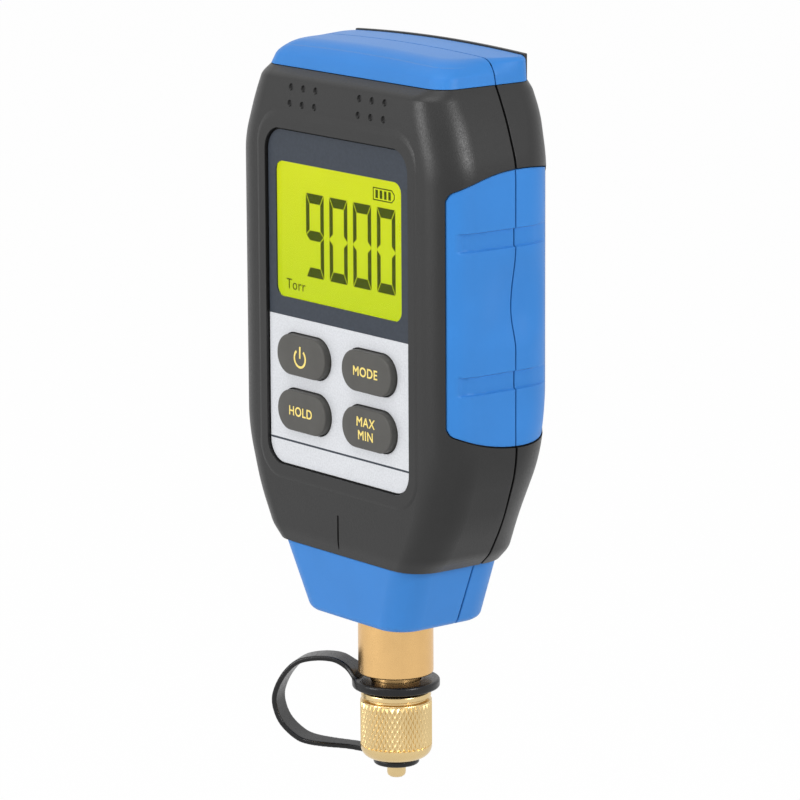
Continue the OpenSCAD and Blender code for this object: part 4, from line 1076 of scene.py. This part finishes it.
class GAUGE_OT_port(bpy.types.Operator):
    """Turn the brass stem with its thread"""

    bl_idname = "gauge.port"
    bl_label = "Port"

    def execute(self, context):
        pitch = context.scene.gauge_sizes.thread_pitch / MM
        top = edge_of("port_stem", 2, True)
        outside = [(3.4, 0.0), (3.7, 0.06), (5.1, 1.65), (5.25, 1.95)]
        tall = THREAD_HIGH - THREAD_LOW
        rows = int(tall / pitch * 14)
        outside += [(THREAD_CREST, THREAD_LOW + tall * k / rows) for k in range(rows + 1)]
        outside += [(5.155, 12.2), (5.155, 15.3), (5.3, 15.4), (7.55, 15.4), (7.8, 15.48), (7.95, 15.65),
                    (8.0, 15.9), (8.0, 31.6), (10.4, 31.6), (10.5, 31.7), (10.5, 34.5), (10.4, 34.6), (7.6, 34.6),
                    (7.6, top - 0.2), (7.4, top)]
        inside = [(5.6, top), (5.6, 41.6), (4.5, 41.6), (4.5, 34.6), (2.4, 34.6), (2.4, 0.4), (2.7, 0.0)]
        bm = made_by(lathe, outside + inside, 72)
        for v in bm.verts:
            r = math.hypot(v.co.x, v.co.y)
            if THREAD_LOW - 0.05 < v.co.z < THREAD_HIGH + 0.05 and r > 5.3:
                turn = (v.co.z / pitch - math.atan2(v.co.y, v.co.x) / (2 * math.pi)) % 1.0
                groove = 1 - abs(2 * turn - 1)
                share = min(max((groove - THREAD_FLAT) / (1 - 2 * THREAD_FLAT), 0.0), 1.0)
                share *= ramp(v.co.z, *RUN_IN) * (1 - ramp(v.co.z, *RUN_OUT))
                sink(v, r, share * (THREAD_CREST - THREAD_ROOT))
        piece = object_of("brass_stem", bm)
        dress(piece, "turned_brass", replaces=["port_stem"], angle=40)
        return {"FINISHED"}


class GAUGE_OT_cap(bpy.types.Operator):
    """Turn the closing cap and knurl its barrel"""

    bl_idname = "gauge.cap"
    bl_label = "Closing cap"

    def execute(self, context):
        sizes = context.scene.gauge_sizes
        depth = sizes.knurl_depth / MM
        count = sizes.knurl_count
        cap_r, inner, foot_r = 7.615, 5.615, 2.5
        top, foot, tip = 11.5, -3.2, -7.7
        low, high = -0.55, 9.35
        profile = [(0.9, tip), (1.45, tip + 0.1), (1.85, tip + 0.45), (2.0, tip + 0.9), (2.0, -4.85), (1.85, -4.7),
                   (1.4, -4.7), (1.4, foot), (4.9, foot), (5.15, foot)]
        profile += [(cap_r - foot_r * (1 - sin), foot + foot_r * (1 - cos)) for sin, cos in quarter(8)[1:]]
        rows = [low] + [round(low + 0.25 + (high - low - 0.5) * k / 9, 2) for k in range(10)] + [high]
        profile += [(cap_r, z) for z in rows]
        profile += [(cap_r - 0.1, high + 0.13), (7.0, high + 0.2), (6.7, high + 0.3), (6.65, high + 0.5),
                    (6.7, high + 0.7), (7.0, high + 0.8), (7.35, high + 0.85), (7.45, high + 0.95),
                    (7.45, top - 0.45), (7.4, top - 0.25), (7.25, top - 0.08), (7.0, top), (5.9, top),
                    (inner, top - 0.3), (inner, -1.4), (0.0, -1.4)]
        bm = made_by(lathe, profile + [(0.0, tip)], 2 * count)
        # Every second crossing of the rows and columns is a pit between the ridges
        pits = set()
        for v in bm.verts:
            r = math.hypot(v.co.x, v.co.y)
            z = round(v.co.z, 2)
            if z in rows[1:-1] and r > 7.3:
                turn = round(math.atan2(v.co.y, v.co.x) / math.pi * count)
                if (turn + rows.index(z)) % 2:
                    pits.add(v)
                    sink(v, r, depth)
        for f in bm.faces[:]:
            corner = next((c for c in f.loops if c.vert in pits), None)
            if corner:
                bmesh.utils.face_split(f, corner.link_loop_prev.vert, corner.link_loop_next.vert)
        piece = object_of("knurled_cap", bm)
        dress(piece, "pale_knurled_brass", body="cap", replaces=["closing_cap"], angle=40, weighted=False)
        return {"FINISHED"}


CAP_RING_Z = edge_of("cap_strap", 2, False)
RING_Z = CAP_RING_Z + 16.8
# Rings of the strap, each (z, outer radius, inner radius, thickness)
STRAP_RINGS = ((RING_Z, 9.355, 5.3, 1.9), (CAP_RING_Z, 4.9, 1.6, 1.4))
STRAP_T, STRAP_HALF, STRAP_CORNER = 1.1, 2.8, 0.3
# Extra half width at the stem's ring and loss of it at the cap's, with the steps of the line where they fade
ROOT_FLARE, ROOT_STEPS = 1.8, (0, 20)
END_TAPER, END_STEPS = 0.7, (80, 100)
# The strap's plane about the Z axis, and the turn of its lower run from that plane, behind the cap
STRAP_TURN = 211.0
STRAP_ASIDE = -40.0
ASIDE_REACH = (6.0, 22.0)
ASIDE_Z = RING_Z - 12
# Middle line of the strap in its own upright plane, each (distance from the axis, z)
STRAP_POINTS = [
    (6.6, RING_Z + 1.2), (8.2, RING_Z + 2.1), (10.1, RING_Z + 3.7), (13.1, RING_Z + 5.1), (17.3, RING_Z + 5.1),
    (21.5, RING_Z + 3.9), (24.5, RING_Z + 1.1), (26.5, RING_Z - 2.6), (26.9, RING_Z - 5.8), (25.4, RING_Z - 9.7),
    (21.8, RING_Z - 12.8), (17.0, RING_Z - 14.7), (12.5, RING_Z - 15.65), (8.8, CAP_RING_Z + 0.72),
    (3.0, CAP_RING_Z + 0.7),
]


def strap_line(steps):
    """Smooth line through the strap's points."""
    line = []
    last = len(STRAP_POINTS) - 1
    for i in range(last):
        a, b, c, d = (Vector(STRAP_POINTS[min(max(k, 0), last)]) for k in (i - 1, i, i + 1, i + 2))
        for k in range(steps):
            t = k / steps
            line.append((2 * b + (c - a) * t + (2 * a - 5 * b + 4 * c - d) * t**2
                         + (3 * b - a - 3 * c + d) * t**3) / 2)
    return line + [Vector(STRAP_POINTS[-1])]


class GAUGE_OT_strap(bpy.types.Operator):
    """Mould the rubber strap between stem and cap in one piece"""

    bl_idname = "gauge.strap"
    bl_label = "Strap"

    def execute(self, context):
        bm = bmesh.new()
        line = strap_line(8)
        below = None
        for i, spot in enumerate(line):
            way = (line[min(i + 1, len(line) - 1)] - line[max(i - 1, 0)]).normalized()
            half = STRAP_HALF + ROOT_FLARE * (1 - ramp(i, *ROOT_STEPS)) - END_TAPER * ramp(i, *END_STEPS)
            face = ring(bm, (0.0, STRAP_T / 2, half, half, STRAP_CORNER, STRAP_CORNER), 0.0, 3)
            rim = list(face.edges)
            place = Matrix(((-way.y, 0.0, way.x, spot.x), (0.0, 1.0, 0.0, 0.0),
                            (way.x, 0.0, way.y, spot.y), (0.0, 0.0, 0.0, 1.0)))
            aside = math.radians(STRAP_ASIDE) * (1 - ramp(spot.x, *ASIDE_REACH)) * (spot.y < ASIDE_Z)
            bmesh.ops.transform(bm, matrix=Matrix.Rotation(aside, 4, "Z") @ place, verts=list(face.verts))
            if 0 < i < len(line) - 1:
                bmesh.ops.delete(bm, geom=[face], context="FACES_ONLY")
            if below:
                bmesh.ops.bridge_loops(bm, edges=below + rim)
            below = rim
        turn = Matrix.Rotation(math.radians(STRAP_TURN), 3, "Z")
        bmesh.ops.rotate(bm, verts=bm.verts, cent=(0, 0, 0), matrix=turn)
        face_outwards(bm)
        piece = object_of("rubber_strap", bm)
        e = STRAP_CORNER
        for z, outer, inner, t in STRAP_RINGS:
            profile = [(inner + e, z), (outer - e, z), (outer, z + e), (outer, z + t - e), (outer - e, z + t),
                       (inner + e, z + t), (inner, z + t - e), (inner, z + e)]
            carve(piece, made_by(lathe, profile, 72), "UNION")
        mod = piece.modifiers.new("one_moulding", "REMESH")
        mod.mode = "VOXEL"
        mod.voxel_size = 0.22 * MM
        mod = piece.modifiers.new("moulded_corners", "SMOOTH")
        mod.factor = 0.5
        mod.iterations = 4
        bake(piece)
        dress(piece, "moulded_black_rubber", body=None, replaces=["cap_strap"], angle=60,
              weighted=False)
        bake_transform(piece)
        return {"FINISHED"}


# Soft lamps, each (name, azimuth, height in degrees, distance, width, power)
LAMPS = (
    ("front_light", -14, 14, 1.1, 0.42, 5.0),
    ("right_light", 99, 25, 1.2, 0.32, 6.5),
    ("top_light", 15, 64, 1.1, 0.8, 4.6),
)
LAMPS_AIM = Vector((0, 0, 0.07))
CAMERA_PLACE = (0.720737, -0.57179, 0.266811)
# Turn about Z, tilt down and roll of the camera, in degrees
CAMERA_TURN, CAMERA_TILT, CAMERA_ROLL = 51.5, 11.83, -0.316
LENS, SENSOR = 202.0, 36.0
FLOOR_Z, FLOOR_HALF = -90.0, 6000.0
# How white the floor is to the eye, and how strongly the surround lights the object
FLOOR_WHITE, SURROUND = 0.98, 0.45


class GAUGE_OT_stage(bpy.types.Operator):
    """Set the floor, the soft studio light and the camera"""

    bl_idname = "gauge.stage"
    bl_label = "Stage"

    def execute(self, context):
        scene = context.scene
        scene.view_settings.view_transform = "Standard"
        bm = bmesh.new()
        bmesh.ops.create_grid(bm, x_segments=1, y_segments=1, size=FLOOR_HALF)
        bmesh.ops.translate(bm, verts=bm.verts, vec=(0, 0, FLOOR_Z))
        floor = object_of("pale_floor", bm)
        floor.data.materials.append(self.floor_finish())
        self.sky(scene)
        for name, azimuth, height, reach, size, power in LAMPS:
            a, e = math.radians(azimuth), math.radians(height)
            way = Vector((math.sin(a) * math.cos(e), -math.cos(a) * math.cos(e), math.sin(e)))
            lamp = bpy.data.lights.new(name, "AREA")
            lamp.energy = power
            lamp.size = size
            light = bpy.data.objects.new(name, lamp)
            scene.collection.objects.link(light)
            aim = way.to_track_quat("Z", "Y").to_matrix().to_4x4()
            light.matrix_world = Matrix.Translation(LAMPS_AIM + way * reach) @ aim
        lens = bpy.data.cameras.new("photo_camera")
        lens.lens = LENS
        lens.sensor_width = SENSOR
        lens.clip_end = 50.0
        camera = bpy.data.objects.new("photo_camera", lens)
        scene.collection.objects.link(camera)
        turn, tilt, roll = (math.radians(a) for a in (CAMERA_TURN, 90 - CAMERA_TILT, CAMERA_ROLL))
        camera.matrix_world = (Matrix.Translation(CAMERA_PLACE) @ (Matrix.Rotation(turn, 4, "Z")
                               @ Matrix.Rotation(tilt, 4, "X") @ Matrix.Rotation(roll, 4, "Z")))
        scene.camera = camera
        return {"FINISHED"}

    def floor_finish(self):
        # Pale studio paper: white to the eye, with a soft shade under the object
        paper = bpy.data.materials.new("pale_studio_paper")
        tree = fresh_tree(paper)
        place = add_node(tree, "ShaderNodeTexCoord").outputs["Object"]
        fibre = add_node(tree, "ShaderNodeTexNoise", {"Vector": place, "Scale": 1500.0})
        tone = shades(tree, fibre.outputs["Fac"], (0.88, 0.88, 0.88), (0.92, 0.92, 0.92))
        plain = add_node(tree, "ShaderNodeBsdfDiffuse", {"Color": tone})
        white = add_node(tree, "ShaderNodeEmission", {"Color": (1.0, 1.0, 1.0), "Strength": 1.0})
        share = add_node(tree, "ShaderNodeMath", {0: self.seen(tree), 1: FLOOR_WHITE}, operation="MULTIPLY")
        both = add_node(tree, "ShaderNodeMixShader",
                        {0: share.outputs["Value"], 1: plain.outputs["BSDF"], 2: white.outputs["Emission"]})
        add_node(tree, "ShaderNodeOutputMaterial", {"Surface": both.outputs["Shader"]})
        return paper

    def seen(self, tree):
        """1 for rays from the eye, from metal and through glass."""
        path = add_node(tree, "ShaderNodeLightPath")
        first = add_node(tree, "ShaderNodeMath",
                         {0: path.outputs["Is Camera Ray"], 1: path.outputs["Is Glossy Ray"]}, operation="MAXIMUM")
        both = add_node(tree, "ShaderNodeMath",
                        {0: first.outputs["Value"], 1: path.outputs["Is Transmission Ray"]}, operation="MAXIMUM")
        return both.outputs["Value"]

    def sky(self, scene):
        """White surround to the eye, soft even light on the object."""
        world = bpy.data.worlds.new("studio_surround")
        scene.world = world
        tree = fresh_tree(world)
        strength = add_node(tree, "ShaderNodeMapRange",
                            {"Value": self.seen(tree), "To Min": SURROUND, "To Max": 1.0})
        glow = add_node(tree, "ShaderNodeBackground",
                        {"Color": (1.0, 1.0, 1.0), "Strength": strength.outputs["Result"]})
        add_node(tree, "ShaderNodeOutputWorld", {"Surface": glow.outputs["Background"]})


STEPS = [
    GAUGE_OT_finishes, GAUGE_OT_case, GAUGE_OT_soft_parts, GAUGE_OT_display, GAUGE_OT_keys, GAUGE_OT_port,
    GAUGE_OT_cap, GAUGE_OT_strap, GAUGE_OT_stage,
]


class GAUGE_PT_panel(bpy.types.Panel):
    """Sizes, colours and steps of the gauge"""

    bl_idname = "GAUGE_PT_panel"
    bl_label = "Gauge"
    bl_space_type = "VIEW_3D"
    bl_region_type = "UI"
    bl_category = "Gauge"

    def draw(self, context):
        for group in (context.scene.gauge_sizes, context.scene.gauge_colours):
            box = self.layout.box()
            for name in type(group).__annotations__:
                box.prop(group, name)
        for step in STEPS:
            self.layout.operator(step.bl_idname)


CLASSES = [GaugeSizes, GaugeColours, *STEPS, GAUGE_PT_panel]


def register():
    for item in CLASSES:
        bpy.utils.register_class(item)
    bpy.types.Scene.gauge_sizes = PointerProperty(type=GaugeSizes)
    bpy.types.Scene.gauge_colours = PointerProperty(type=GaugeColours)


def unregister():
    del bpy.types.Scene.gauge_colours
    del bpy.types.Scene.gauge_sizes
    for item in reversed(CLASSES):
        bpy.utils.unregister_class(item)


def main():
    register()
    for step in STEPS:
        getattr(bpy.ops.gauge, step.bl_idname.split(".")[1])()


if __name__ == "__main__":
    main()
